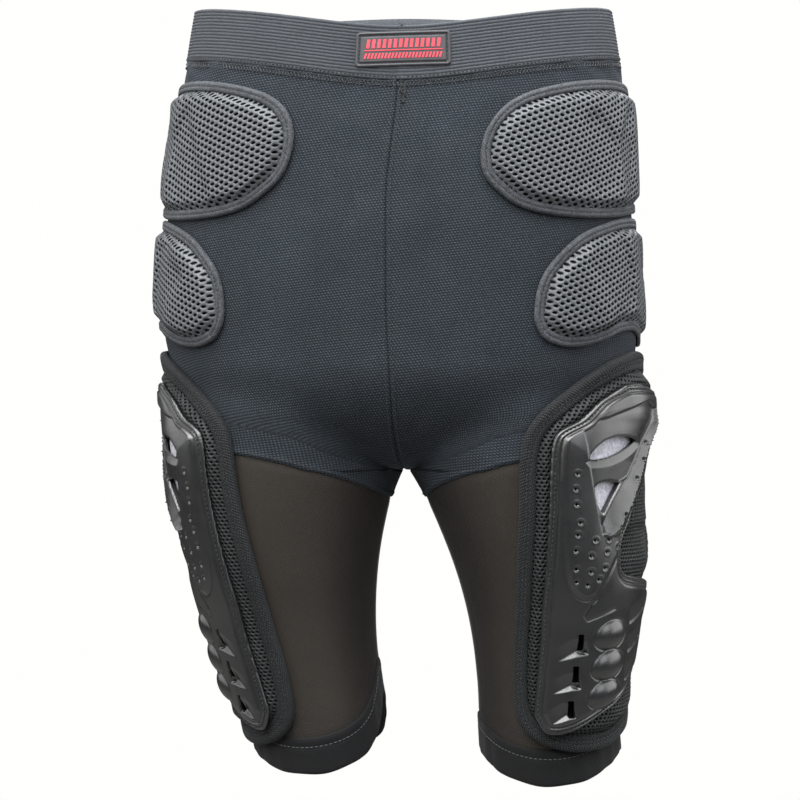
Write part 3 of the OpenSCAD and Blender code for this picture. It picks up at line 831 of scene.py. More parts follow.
def cord_rings(points, normals, high, wide, corners):
    """rings along a line; high is the radius along the normal, wide the one across"""
    aside = np.cross(unit(np.gradient(points, axis=0)), normals)
    turn = np.arange(corners) * 2 * math.pi / corners
    return (points[:, None] + normals[:, None] * (np.sin(turn)[None, :, None] * high)
            + aside[:, None] * (np.cos(turn)[None, :, None] * wide))


def stitches(name, runs, material=THREAD, length=2.0, gap=0.8, radius=0.28, sink=0.05):
    """one mesh of thread stitches; each run is (points, normals), already dense"""
    stops = np.array([0.0, 0.12, 0.35, 0.65, 0.88, 1.0])
    taper = np.array([0.25, 0.8, 1.0, 1.0, 0.8, 0.25])[None, :, None, None] * radius
    turn = (np.arange(6) * 2 * math.pi / 6)[None, None, :, None]
    lift = (np.sin(stops * math.pi) * radius * 0.9 - sink)[None, :, None, None]
    rings = []
    for points, normals in runs:
        distance = path_length(points)
        count = int(distance[-1] / (length + gap))
        step = distance[-1] / count
        places = (np.arange(count) * step)[:, None] + stops[None, :] * (step - gap)
        centres, outward = (np.stack([np.interp(places, distance, line[:, k])
                                      for k in range(3)], -1) for line in (points, normals))
        outward = unit(outward)
        along = np.broadcast_to(unit(centres[:, -1:] - centres[:, :1]), outward.shape)
        aside = np.cross(along, outward)
        rings.append(centres[:, :, None] + outward[:, :, None] * (lift + taper * np.sin(turn))
                     + aside[:, :, None] * (taper * np.cos(turn)))
    return cords(name, np.concatenate(rings), material)


# ------------------------------------------------------------------ pads
# outlines as (pad angle, height), anticlockwise seen from outside on the left
UPPER_HIP = [
    [-7.5, 440], [-5, 423], [2, 410], [9, 402.5], [20, 398], [36, 396.5], [54, 398],
    [74, 402], [94, 404], [109, 412], [115, 430], [115, 455], [107, 475], [92, 484],
    [74, 488.5], [56, 490.5], [40, 490], [26, 487.5], [13, 483], [4, 477.5], [-2.5, 469],
    [-6.5, 456]]
LOWER_HIP = [
    [15.5, 338], [15.8, 327], [19, 317], [24, 312.5], [30, 310.5], [38, 311.5], [47, 315.5],
    [56, 320.5], [68, 321.5], [80, 317], [91, 312], [103, 312], [112, 324], [116, 345],
    [114, 370], [106, 388], [92, 396.5], [74, 398], [56, 396.5], [42, 391], [33, 384.5],
    [26, 375], [19.5, 362], [16.5, 350]]
THIGH = [
    [-6, 84], [-5.5, 66], [-2, 54.5], [5, 46], [15, 40.5], [30, 37], [50, 38], [70, 43],
    [92, 50], [112, 62], [122, 85], [126, 120], [128, 160], [128, 200], [125, 240],
    [117, 272], [104, 294], [88, 304], [70, 307.5], [53, 301.5], [40, 291], [29, 278],
    [20.5, 266], [15.5, 254], [12.8, 240], [10.5, 223], [6.5, 196], [1, 162], [-2.5, 130],
    [-5, 104]]
TAILBONE = [
    [0, 338], [9, 344], [15, 360], [20, 385], [26, 410], [30, 432], [27, 449], [16, 458],
    [0, 461], [-16, 458], [-27, 449], [-30, 432], [-26, 410], [-20, 385], [-15, 360],
    [-9, 344]]
# extra lift of the thigh pads out at the side, by height
SWELL_Z = [50, 63, 73, 88, 103, 125, 145, 155, 165, 175, 188, 203, 213, 223, 233, 243, 253,
           263, 273, 283, 295, 308]
SWELL_LEFT = [-1.0, -2.2, -3.0, -3.2, -3.6, -2.8, -0.6, 2.0, 3.8, 3.2, 1.4, 0.6, 0.6, 0.0,
              -0.8, -0.4, 1.2, 3.2, 4.6, 5.6, 5.5, 5.0]
SWELL_RIGHT = [-1.5, -2.4, -3.8, -6.0, -7.0, -7.4, -7.6, -6.6, -4.6, -3.8, -3.8, -5.2, -6.2,
               -7.0, -7.5, -7.2, -6.0, -3.4, -0.5, 1.6, 2.4, 2.4]
# cross sections of the binding tapes: (distance in from the edge, height over the body)
HIP_PROFILE = [
    (-0.3, 2.3), (-0.35, 3.2), (-0.1, HIP_EDGE - 0.75), (0.45, HIP_EDGE),
    (1.2, HIP_EDGE + 0.38), (2.1, HIP_EDGE + 0.52), (2.8, HIP_EDGE + 0.3),
    (3.2, HIP_EDGE + 0.02), (3.6, HIP_EDGE + 0.28), (4.3, HIP_EDGE + 0.52),
    (5.3, HIP_EDGE + 0.42), (6.1, HIP_EDGE + 0.05), (HIP_TAPE, HIP_EDGE - 0.5),
    (6.2, HIP_EDGE - 0.85), (2.2, HIP_EDGE - 0.8), (2.0, 2.3)]
THIGH_PROFILE = [
    (-0.3, 2.3), (-0.35, 5.0), (-0.1, THIGH_EDGE - 1.6), (0.4, THIGH_EDGE - 0.7),
    (1.2, THIGH_EDGE - 0.05), (2.6, THIGH_EDGE + 0.4), (4.2, THIGH_EDGE + 0.5),
    (4.75, THIGH_EDGE + 0.12), (5.3, THIGH_EDGE + 0.5), (6.6, THIGH_EDGE + 0.55),
    (7.15, THIGH_EDGE + 0.15), (7.7, THIGH_EDGE + 0.55), (9.4, THIGH_EDGE + 0.5),
    (10.6, THIGH_EDGE + 0.1), (11.4, THIGH_EDGE - 0.6), (11.1, THIGH_EDGE - 1.1),
    (2.4, THIGH_EDGE - 1.1), (2.1, 2.3)]


def outline(side, points, step):
    chart = LEG_CHART if side else BACK_CHART
    return resample(chart.flat(smooth_closed(points, 1400)), step)


def thigh_depth_field():
    line = outline(1, THIGH, 3.0)
    low = line.min(0) - np.array([60, 40])
    return distance_field(line, low, (line[:, 0].max() + 60, 520), 3.0)


THIGH_DEPTH = thigh_depth_field()


def place(side, x, y, lift):
    """a point over the body; the leg pads sit closer to it or further off at the side"""
    if side == 0:
        return lifted(*TRUNK.at(180 + BACK_CHART.angle(x, y), y), lift)
    angle = LEG_CHART.angle(x, y)
    outer = ease((angle - 48) / 36)
    swell = np.interp(y, SWELL_Z, SWELL_LEFT if side > 0 else SWELL_RIGHT)
    lift = (lift * (1 - 0.2 * outer * ease((y - 308) / 10))
            + swell * outer * ease((THIGH_DEPTH.at(x, y) - 4) / 20))
    return lifted(*LEG.at(90 + angle - side * leg_turn(y), y), lift, side)


def place_normals(side, x, y, lift):
    reach = 1.5
    across = place(side, x + reach, y, lift) - place(side, x - reach, y, lift)
    up = place(side, x, y + reach, lift) - place(side, x, y - reach, lift)
    return unit(np.cross(across, up) * (1 if side >= 0 else -1))


def dome(edge, crown, depth):
    """a pad's plain height at a depth in from its edge"""
    return edge + (crown - edge) * (1 - np.exp(-np.maximum(depth, 0) / 7.0)) * 0.9


def shrinking_rings(rim, centre, shares):
    """rings from the rim towards the centre, then the centre itself"""
    rings = rim[None] + (centre - rim)[None] * shares[:, None, None]
    return np.concatenate([rings.reshape(-1, 2), centre[None]])


def block_faces(rings, count, flip):
    """a front and a back of shrinking rings with a skirt between them"""
    size = rings * count + 1
    top = (rings - 1) * count
    j = np.arange(count)
    k = (j + 1) % count
    centre = 0 * j + rings * count
    faces = [grid_faces(rings, count, True), np.stack([top + j, top + k, centre], -1),
             grid_faces(rings, count, True, size)[:, ::-1],
             np.stack([top + k, top + j, centre], -1) + size,
             np.stack([j, size + j, size + k, k], -1)]
    return [part[:, ::-1] for part in faces] if flip else faces


def every(line, count):
    return line[np.linspace(0, len(line), count, endpoint=False).astype(int)]


def cushion(name, side, shape, edge, crown, pressure, rings=12, count=120):
    """cover cloth pinned round its edge and filled by pressure; plane points and heights"""
    line = outline(side, shape, 1.0)
    shares = 1 - (1 - np.linspace(0, 1, rings + 1)) ** 1.25
    flat = shrinking_rings(every(line, count), line.mean(0), shares[:-1])
    x, y = flat.T
    lift = dome(edge, crown, np.maximum(edge_distance(line, x, y), 0))
    front = place(side, x, y, lift)
    # a stiff backing closes it so that the pressure has a volume to fill
    back = place(side, x, y, 0 * lift + 2.0)
    size = len(flat)
    cloth = build("sim_" + name, np.concatenate([front, back]),
                  block_faces(rings, count, side < 0))
    group = cloth.vertex_groups.new(name="pin")
    group.add(list(range(size, 2 * size)) + list(range(count)), 1.0, "REPLACE")
    group.add(list(range(count, 2 * count)), 0.35, "REPLACE")
    modifier = cloth.modifiers.new("cloth", "CLOTH")
    settings = modifier.settings
    settings.quality = 6
    settings.mass = 0.25
    settings.tension_stiffness = 18
    settings.compression_stiffness = 14
    settings.shear_stiffness = 8
    settings.bending_stiffness = 0.6
    settings.air_damping = 2.0
    settings.use_pressure = True
    settings.uniform_pressure_force = pressure
    settings.shrink_min = -0.055
    settings.vertex_group_mass = "pin"
    settings.effector_weights.gravity = 0
    modifier.collision_settings.use_collision = False
    for frame in range(1, 21):
        bpy.context.scene.frame_set(frame)
    settled = cloth.evaluated_get(bpy.context.evaluated_depsgraph_get())
    mesh = settled.to_mesh()
    points = np.empty(len(mesh.vertices) * 3)
    mesh.vertices.foreach_get("co", points)
    points = points.reshape(-1, 3)[:size] * 1000.0
    settled.to_mesh_clear()
    rise = ((points - front) * place_normals(side, x, y, 0 * lift)).sum(1)
    bpy.data.objects.remove(cloth, do_unlink=True)
    return flat, lift + np.clip(rise, -2.5, 3.5)


def slack_of(flat, lift, plain):
    """how far the settled cloth stands over its plain height, less most of the median"""
    rise = lift - plain
    field = scatter_field(flat, rise)
    usual = 0.8 * float(np.median(rise))
    return lambda x, y: field.at(x, y) - usual


def cell_ring(pitch_x, pitch_y):
    """twelve points round a six-sided cell, anticlockwise"""
    shoulder = (pitch_y * pitch_y - pitch_x * pitch_x / 4) / (2 * pitch_y)
    half, tip = pitch_x / 2, pitch_y - shoulder
    corners = np.array([[half, shoulder], [0, tip], [-half, shoulder],
                        [-half, -shoulder], [0, -tip], [half, -shoulder]])
    middles = (corners + np.roll(corners, 1, 0)) / 2
    return np.stack([middles, corners], 1).reshape(12, 2)


def lattice(name, side, low, high, height, keep, material, pitch, hole, thick, crest,
            jitter, seed, turn):
    """open mesh cloth: staggered cells, each with a hole, closed all round every strand"""
    middle = (low + high) / 2
    reach = math.hypot(*(high - low)) / 2
    cos, sin = math.cos(math.radians(turn)), math.sin(math.radians(turn))
    spin = np.array([[cos, sin], [-sin, cos]])
    rows, columns = (int(reach / size) for size in pitch[::-1])
    i, j = np.meshgrid(np.arange(-rows - 1, rows + 2), np.arange(-columns - 1, columns + 2),
                       indexing="ij")
    centres = np.stack([(j + 0.5 * (i % 2)) * pitch[0], i * pitch[1]], -1).reshape(-1, 2)
    centres = centres[keep(*(centres @ spin + middle).T)]
    cell = cell_ring(*pitch)
    around = np.arctan2(cell[:, 1] / hole[1], cell[:, 0] / hole[0])
    oval = np.stack([hole[0] * np.cos(around), hole[1] * np.sin(around)], -1)
    count = len(centres)
    # neighbouring cells share the points of their common edges
    edges = centres[:, None] + cell
    key = np.round(edges * 20 + 0.237).astype(np.int64).reshape(-1, 2)
    _, first, shared = np.unique(key, axis=0, return_index=True, return_inverse=True)
    shared = shared.reshape(count, 12)
    rim = edges.reshape(-1, 2)[first]
    shift = np.random.default_rng(seed).normal(0, jitter, (count, 1, 2))
    shoulder = (centres[:, None] + cell * 0.42 + oval * 0.58 + shift * 0.5).reshape(-1, 2)
    inner = (centres[:, None] + oval + shift).reshape(-1, 2)
    own = len(rim) + np.arange(count * 12).reshape(count, 12)
    step = count * 12
    levels = [shared, own, own + step, own + 2 * step, shared + len(rim) + 3 * step]
    rim, shoulder, inner = (part @ spin + middle for part in (rim, shoulder, inner))
    layers = ((rim, crest), (shoulder, crest * 0.62), (inner, -0.12), (inner, -thick),
              (rim, -thick))
    points = np.concatenate([place(side, *flat.T, height(*flat.T) + rise)
                             for flat, rise in layers])
    faces = [np.stack([outer, np.roll(outer, -1, 1), np.roll(within, -1, 1), within],
                      -1).reshape(-1, 4) for outer, within in zip(levels, levels[1:])]
    # close the outer rim between the top and the bottom
    top, bottom = (np.stack([level, np.roll(level, -1, 1)], -1).reshape(-1, 2)
                   for level in (levels[0], levels[-1]))
    code = top.min(1) * 10 ** 7 + top.max(1)
    _, index, uses = np.unique(code, return_index=True, return_counts=True)
    open_ = index[uses == 1]
    faces.append(np.stack([top[open_, 1], top[open_, 0], bottom[open_, 0],
                           bottom[open_, 1]], -1))
    faces = np.concatenate(faces)
    if side < 0:
        faces = faces[:, ::-1]
    return build(name, points, faces, material, np.concatenate([flat for flat, _ in layers]))


def sweep(name, side, line, inwards, profile, material, wobble, rib, pitch):
    """a tape laid along a closed line"""
    profile = np.array(profile, float)
    inset, level = profile[None, :, 0], profile[None, :, 1]
    distance = path_length(line)
    random = np.random.default_rng(3)
    turn = np.arange(len(line)) * 2 * math.pi / len(line)

    def waver(rates):
        return sum(np.sin(turn * rate + random.uniform(0, 6.28)) * random.uniform(0.4, 1)
                   for rate in rates)[:, None] / 3
    rise, shift = waver((7, 11, 17, 26, 41)), waver((9, 15, 23, 37, 55))
    ribs = rib * np.sin(2 * math.pi * distance[:, None] / pitch + inset * 1.3)
    lift = level + np.where(level > 3.0, wobble * rise + ribs, 0)
    inset = inset + wobble * 0.7 * shift * (inset > 2.1)
    flat = line[:, None] + inwards[:, None] * inset[..., None]
    faces = ring_faces(len(line), len(profile))
    if side >= 0:
        faces = faces[:, ::-1]
    uv = np.stack(np.broadcast_arrays(distance[:, None], path_length(profile)[None]), -1)
    return build(name, place(side, flat[..., 0], flat[..., 1], lift), faces, material,
                 uv.reshape(-1, 2))


def stitch_row(side, line, inwards, inset, height, proud=0.0):
    """a closed row at a distance in from a line; height is a function of the plane"""
    path = line + inwards * inset
    x, y = np.concatenate([path, path[:1]]).T
    lift = height(x, y)
    return place(side, x, y, lift + proud), place_normals(side, x, y, lift)


def bind(tape_name, stitch_name, replaces, side, body, line, spread, profile, material,
         rows, length, radius, **texture):
    """the tape round a pad's edge; rows holds (distance in, height) of its stitching"""
    inwards = smooth_inward(line, spread)
    tape = sweep(tape_name, side, line, inwards, profile, material, **texture)
    runs = [stitch_row(side, line[::3], inwards[::3], inset, lambda x, y: level + 0 * x)
            for inset, level in rows]
    sewing = stitches(stitch_name, runs, length=length, gap=0.9, radius=radius)
    attach(tape, body, replaces)
    attach(sewing, body)


def foam_block(name, side, line, centre, height, inset, drop, rings, count):
    """the pad's foam, a closed cushion under the mesh"""
    floor = 2.35
    rim = every(line + inward(line) * inset, count)
    flat = shrinking_rings(rim, centre, np.linspace(0, 1, rings + 1)[:-1])
    x, y = flat.T
    top = np.maximum(height(x, y) - drop, floor + 0.3)
    points = np.concatenate([place(side, x, y, top), place(side, x, y, floor + 0 * top)])
    return build(name, points, block_faces(rings, count, side < 0), FOAM,
                 np.concatenate([flat, flat]))


def hip_pad(kind, side, shape):
    """an upper or lower hip pad, or the tailbone pad for side 0"""
    ending = "_" + side_name(side) if side else ""
    label = kind + ending
    line = outline(side, shape, 0.9)
    flat, lift = cushion(label, side, shape, HIP_EDGE, HIP_CROWN, pressure=4.0)
    slack = slack_of(flat, lift, dome(HIP_EDGE, HIP_CROWN, edge_distance(line[::2], *flat.T)))
    low, high = line.min(0) - 6, line.max(0) + 6
    depth = distance_field(line[::2], low, high)

    def height(x, y):
        inside = depth.at(x, y)
        full = dome(HIP_EDGE, HIP_CROWN, inside) + np.clip(slack(x, y), -1.4, 1.3)
        edge = HIP_EDGE - 1.25
        return edge + (full - edge) * ease((inside - HIP_TAPE + 1.0) / 7.0)
    mesh = lattice(label + "_mesh", side, low, high, height,
                   lambda x, y: depth.at(x, y) > 4.2, HEX_NET, pitch=(4.4, 3.8),
                   hole=(0.92, 1.85), thick=0.85, crest=0.34, jitter=0.04, seed=len(label),
                   turn=90 - 9)
    foam = foam_block(label + "_foam", side, line, line.mean(0), height, inset=2.8,
                      drop=1.25, rings=22, count=220)
    attach(mesh, "hips", kind + "_mesh" + ending)
    attach(foam, "hips", kind + "_foam" + ending)
    bind(label + "_binding", label + "_stitches", kind + "_binding" + ending, side, "hips",
         resample(line, 0.4), 12, HIP_PROFILE, HIP_BINDING, rows=[(3.2, HIP_EDGE + 0.1)],
         length=2.1, radius=0.3, wobble=0.16, rib=0.06, pitch=1.15)


# ------------------------------------------------------------------ thigh shell
# rim as (height, pad angle), both lines from bottom to top
SHELL_FRONT = [
    [50, 14], [53, 11], [58, 8.8], [65, 7], [85, 8.2], [117, 10], [140, 11], [165, 14],
    [196, 18.2], [228, 22.5], [247, 24.5], [255, 27.5], [264, 37], [276, 46], [286, 56],
    [288, 60]]
SHELL_OUTER = [
    [50, 20], [53, 28], [58, 36], [65, 47], [75, 67], [85, 86], [95, 102], [107, 107],
    [131, 107], [143, 105], [150, 97], [156, 64], [160, 53], [170, 52], [180, 53.5],
    [190, 59], [200, 65], [208, 71], [219.5, 84], [236, 97], [248, 102], [264, 103],
    [272, 100], [280, 92], [288, 72]]
SHELL = [[angle, z] for z, angle in SHELL_OUTER + SHELL_FRONT[::-1]]
# the rest as (pad angle, height); first the two windows
LEAF = [(37.9, 235.9), (38.3, 238.4), (41.4, 243.3), (45.5, 247.5), (51.6, 250.2),
        (59.0, 250.0), (65.3, 247.7), (65.8, 245.9), (60.7, 242.6), (55.1, 239.4),
        (48.3, 236.3), (42.5, 234.9), (38.6, 234.6)]
LEAF_LOWER_EDGE = [(37.9, 235.9), (65.6, 247.0)]
TRIANGLE = [(38.4, 216.7), (40.5, 218.9), (43.0, 220.1), (47.2, 220.6), (52.6, 219.3),
            (46.9, 210.2), (40.9, 199.4), (39.4, 202.0), (38.4, 206.0)]
# raised tongue, the sunk face in it, and the wing beside that between two lines
TONGUE = [(30, 252), (27.5, 240), (24.9, 210), (22.6, 185), (21.8, 172), (21.9, 158),
          (24, 149), (28.5, 144.5), (33, 147), (36.3, 153), (44.9, 168), (59.4, 192),
          (72, 214), (84, 240), (88, 256), (76, 268), (60, 268), (42, 262)]
SUNK_FACE = [(34.4, 262), (36.5, 243.5), (37.1, 226.6), (37.4, 209.7), (38.0, 192.7),
             (38.4, 186.7), (40.7, 198.5), (45.9, 208.5), (52.6, 219.3), (58.7, 222.5),
             (63.9, 230.5), (68.8, 239.5), (73.0, 247), (78.5, 256), (84, 268), (72, 276),
             (60, 270), (46, 264)]
WING_FRONT = [(38.4, 186.0), (38.9, 191.5), (41.4, 198.2), (46.9, 208.2), (53.4, 218.4),
              (58.7, 222.5), (63.9, 230.5), (68.8, 239.5), (73.0, 247), (78.5, 256),
              (83.6, 268)]
WING_REAR = [(40.2, 184.2), (43.2, 184.6), (46.4, 187.8), (50.1, 193.6), (56.7, 203.6),
             (61.7, 213.0), (65.5, 221.4), (69.5, 229.7), (73.4, 238.0), (77.2, 245.3),
             (81.0, 254.0), (84.2, 268)]
DOMES = [(43.4, 119), (43.4, 98), (43.0, 77.5)]
SLOTS = [(27.2, 114), (25.7, 92), (24.3, 68)]
# wedge-shaped dents: front end, peak of the upper line, rear end
WEDGES = [((15.6, 100), (25.4, 108), (30.4, 106)), ((14.1, 78), (23.9, 84.5), (28, 82)),
          ((13.6, 56), (22.4, 64), (26.5, 62))]
GROOVE = [(44.7, 137), (29.8, 129.5), (28.2, 133), (31.2, 140.5), (34, 144)]
# centre lines of the shallow steps behind the domes
STEPS = [((57, 131), (86, 139)), ((58, 111), (88, 119)), ((58, 91), (84, 98))]
HOLES = [(31.6, 226), (29.8, 216), (29, 206), (29.3, 194), (27.5, 186), (25.8, 176),
         (25, 164), (24.6, 156), (34.6, 182), (31.8, 172), (31.1, 162), (29.3, 154),
         (41.6, 182), (39.8, 174), (38, 164), (34.6, 157), (52.2, 198), (49.5, 188),
         (46.8, 177), (61.9, 212), (58.2, 203), (63.7, 222), (69.6, 226), (75.3, 237),
         (70.4, 234), (80, 249), (74.1, 245)]
HOLE_RADIUS = 0.95
SLOT_HALF = (1.9, 6.0)
LINER_CENTRE, LINER_RADII = (51.0, 227.0), (32.0, 34.0)
# rim moulding: distance in from the rim, added height
RIM_IN = [0, 0.25, 0.7, 1.4, 1.9, 2.4, 2.9, 3.4, 4.0, 4.6, 5.1, 5.7, 6.6, 8.0]
RIM_RISE = [-1.5, -0.75, -0.05, 0.30, -0.25, -0.60, -0.25, 0.30, 0.55, 0.05, -0.70, 0.15,
            0.95, 1.2]
RIM_STITCH_IN = 2.4


def plate(name, x, y, inside, top, bottom, put, material, flip=False):
    """solid of uneven thickness where inside > 0 on a grid, cut along the zero line"""
    inside = np.where(np.abs(inside) < 0.06, np.where(inside < 0, -0.06, 0.06), inside)
    rows, columns = inside.shape
    filled = inside > 0
    corners = (filled[:-1, :-1].astype(int) + filled[:-1, 1:] + filled[1:, 1:]
               + filled[1:, :-1])
    used = np.zeros((rows, columns), bool)
    for i, j in ((0, 0), (0, 1), (1, 1), (1, 0)):
        used[i:rows - 1 + i, j:columns - 1 + j] |= corners > 0
    used &= filled
    count = int(used.sum())
    node = -np.ones((rows, columns), np.int64)
    node[used] = np.arange(count)
    cuts, cut_x, cut_y = {}, [], []

    def cut(first, second):
        """the vertex where a grid edge crosses the zero line"""
        first, second = sorted((first, second))
        if (first, second) not in cuts:
            part = inside[first] / (inside[first] - inside[second])
            cut_x.append(x[first] + part * (x[second] - x[first]))
            cut_y.append(y[first] + part * (y[second] - y[first]))
            cuts[first, second] = count + len(cuts)
        return cuts[first, second]
    i, j = np.nonzero(corners == 4)
    quads = np.stack([node[i, j], node[i, j + 1], node[i + 1, j + 1], node[i + 1, j]], -1)
    partial = {3: [], 4: [], 5: [], 6: []}
    for i, j in zip(*(index.tolist() for index in np.nonzero((corners > 0) & (corners < 4)))):
        square = [(i, j), (i, j + 1), (i + 1, j + 1), (i + 1, j)]
        face = []
        for k in range(4):
            here, ahead = square[k], square[(k + 1) % 4]
            if filled[here]:
                face.append(int(node[here]))
            if filled[here] != filled[ahead]:
                face.append(cut(here, ahead))
        partial[len(face)].append(face)
    x = np.concatenate([x[used], np.array(cut_x)])
    y = np.concatenate([y[used], np.array(cut_y)])
    faces = [quads] + [np.array(group) for group in partial.values() if group]
    edges = np.concatenate([np.stack([group, np.roll(group, -1, 1)], -1).reshape(-1, 2)
                            for group in faces])
    key = edges[:, 0] * 10 ** 8 + edges[:, 1]
    reverse = edges[:, 1] * 10 ** 8 + edges[:, 0]
    start, end = edges[~np.isin(key, reverse)].T
    size = len(x)
    faces = (faces + [group[:, ::-1] + size for group in faces]
             + [np.stack([end, start, start + size, end + size], -1)])
    if flip:
        faces = [group[:, ::-1] for group in faces]
    points = np.concatenate([put(x, y, top(x, y)), put(x, y, bottom(x, y))])
    return build(name, points, faces, material, np.concatenate([np.stack([x, y], -1)] * 2))


def along_line(x, y, start, end):
    """distance along and to the left of a line, and the line's length"""
    length = np.linalg.norm(end - start)
    step_x, step_y = (end - start) / length
    x, y = x - start[0], y - start[1]
    return x * step_x + y * step_y, y * step_x - x * step_y, length


def tongue_relief(x, y, rim):
    """the tongue, its sunk face and the wing"""
    flat = LEG_CHART.flat
    tongue = edge_distance(resample(flat(smooth_closed(TONGUE, 500)), 1.0), x, y)
    sunk = edge_distance(resample(flat(SUNK_FACE), 1.0), x, y)
    front_line, rear_line = flat(WING_FRONT), flat(WING_REAR)
    front, rear = (edge_distance(line, x, y, False) for line in (front_line, rear_line))
    wing = edge_distance(np.concatenate([front_line, rear_line[::-1]]), x, y)
    fade = ease((274 - y) / 22.0) * ease((rim - 4.8) / 2.5)
    out = 1.7 * ease((tongue + 0.6) / 3.0) * fade * (0.62 + 0.38 * ease(-(y - 200) / 50.0))
    out -= 0.45 * hump((tongue + 1.3) / 0.9) * fade
    out -= 2.0 * ease((sunk + 0.3) / 1.6) * ease((rim - 5.6) / 3.0)
    # the wing rises from its front line to its rear line, then dies away behind it
    wing_fade = ease((272 - y) / 14.0)
    out += ease((wing + 0.2) / 0.5) * (-1.8 + 4.8 * front / (front + rear + 1e-6)) * wing_fade
    behind = x > np.interp(y, rear_line[:, 1], rear_line[:, 0]) - 0.5
    out += (2.9 * (wing <= 0) * (sunk < 0) * np.exp(-np.maximum(0, -wing) / 4.0) * (rear < 14)
            * behind * wing_fade * ease((y - 183) / 6.0))
    return out


def window_relief(x, y, leaf, triangle, hole):
    """bevels round the windows, wide below the leaf, and dimples round the holes"""
    start, end = LEG_CHART.flat(LEAF_LOWER_EDGE)
    slope = (x - start[0]) / (end[0] - start[0]) * (end[1] - start[1])
    below = ease((start[1] + slope - y) / 1.5)
    out = -(0.4 + 2.0 * below) * np.clip(1 + leaf / (1.0 + 4.2 * below), 0, 1) * (leaf < 0)
    out -= 0.5 * np.clip(1 + triangle, 0, 1) * (triangle < 0)
    out -= 0.55 * (1 - ease((hole - HOLE_RADIUS) / 1.1))
    return out + 0.22 * hump((hole - 2.3) / 0.5)


def dome_relief(x, y):
    """oval domes, each with a fine groove round it"""
    out = 0.0 * x
    cos, sin = math.cos(math.radians(24)), math.sin(math.radians(24))
    for centre in LEG_CHART.flat(DOMES):
        right, above = x - centre[0], y - centre[1]
        radius = (((right * cos + above * sin) / 12.2) ** 2
                  + ((-right * sin + above * cos) / 9.6) ** 2)
        out += 3.4 * np.maximum(0, 1 - radius) ** 0.8
        out -= 0.55 * hump((np.sqrt(radius) - 1.07) / 0.05)
    return out


def dent_relief(x, y):
    """wedge dents, the bent groove and the shallow steps"""
    out = 0.0 * x
    for wedge in WEDGES:
        start, peak, end = LEG_CHART.flat(wedge)
        along, above, length = along_line(x, y, start, end)
        along = along / length
        peak_along, peak_above, _ = along_line(*peak, start, end)
        peak_along = peak_along / length
        ridge = np.maximum(0.05, np.where(along < peak_along, peak_above * along / peak_along,
                                          peak_above * (1 - along) / (1 - peak_along)))
        depth = 3.3 * ease(along / 0.75) * ease((1.04 - along) / 0.05)
        share = np.where(above < ridge, np.clip(above / ridge, 0, 1),
                         np.clip(1 - (above - ridge) / 9.5, 0, 1))
        out -= depth * share * (along > 0)
    out -= 0.6 * hump(edge_distance(LEG_CHART.flat(GROOVE), x, y, False) / 0.8)
    half = 6.5
    for ends in STEPS:
        along, above, length = along_line(x, y, *LEG_CHART.flat(ends))
        inside = np.minimum.reduce([along, length - along, above + half, half - above])
        out -= 1.3 * ease(inside / 0.9) * np.clip((half - above) / (2 * half), 0, 1)
    return out


def shell_form(line):
    """the shell's grid, its outline with openings cut, and its top and underside"""
    step = 0.6
    low, high = line.min(0) - 2.5, line.max(0) + 2.5
    x, y = mesh_between(low, high, step)
    rim = edge_distance(line, x, y)
    leaf, triangle = (edge_distance(resample(LEG_CHART.flat(window), 0.6), x, y)
                      for window in (LEAF, TRIANGLE))
    hole = np.min([np.hypot(x - centre[0], y - centre[1])
                   for centre in LEG_CHART.flat(HOLES)], axis=0)
    # the slots lean, hence the share of y in x
    slot = np.min([np.maximum(
        np.abs(x - centre[0] + 0.14 * (y - centre[1])) - SLOT_HALF[0],
        np.abs(y - centre[1]) - SLOT_HALF[1]) for centre in LEG_CHART.flat(SLOTS)], axis=0)
    inside = np.minimum.reduce([rim, -leaf, -triangle, hole - HOLE_RADIUS, slot])
    upper = ease((y - 212) / 44)
    arch = 1 - np.exp(-np.maximum(rim, 0) / (10.0 + 6.0 * upper))
    bottom = 10.6 + (2.8 + 1.6 * upper) * arch
    top = bottom + 3.0 + np.interp(rim, RIM_IN, RIM_RISE) + tongue_relief(x, y, rim)
    top += window_relief(x, y, leaf, triangle, hole) + dome_relief(x, y) + dent_relief(x, y)
    top = np.maximum(top, bottom + 1.0)
    return x, y, inside, Field(top, low, step), Field(bottom, low, step)


def thigh_shell(side, body, line, put):
    x, y, inside, top, bottom = shell_form(line)
    name = side_name(side)
    shell = plate("thigh_shell_" + name, x, y, inside, top.at, bottom.at, put,
                  SHELL_PLASTIC, side < 0)
    attach(shell, body, "thigh_shell_" + name)
    rim = resample(line, 1.0)
    row = stitch_row(side, rim, smooth_inward(rim, 3), RIM_STITCH_IN, top.at, proud=0.18)
    sewing = stitches("shell_stitches_" + name, [row], length=2.3, gap=0.9, radius=0.36)
    attach(sewing, body)


def vent_liner(side, body, put):
    """pale tufted cloth seen through the windows"""
    centre = LEG_CHART.flat(LINER_CENTRE)
    x, y = np.meshgrid(np.arange(-33, 33.1, 1.0) + centre[0],
                       np.arange(-35, 35.1, 1.0) + centre[1])
    radius = (((x - centre[0]) / LINER_RADII[0]) ** 2 + ((y - centre[1]) / LINER_RADII[1]) ** 2)
    tuft = Field(0.25 * wave_noise(x * 1.1, y * 1.1, 4), (x.min(), y.min()), 1.0)
    name = "vent_liner_" + side_name(side)
    liner = plate(name, x, y, (1 - radius) * 15, lambda x, y: 12.55 + tuft.at(x, y),
                  lambda x, y: 11.7 + 0 * x, put, LINER, side < 0)
    attach(liner, body, name)


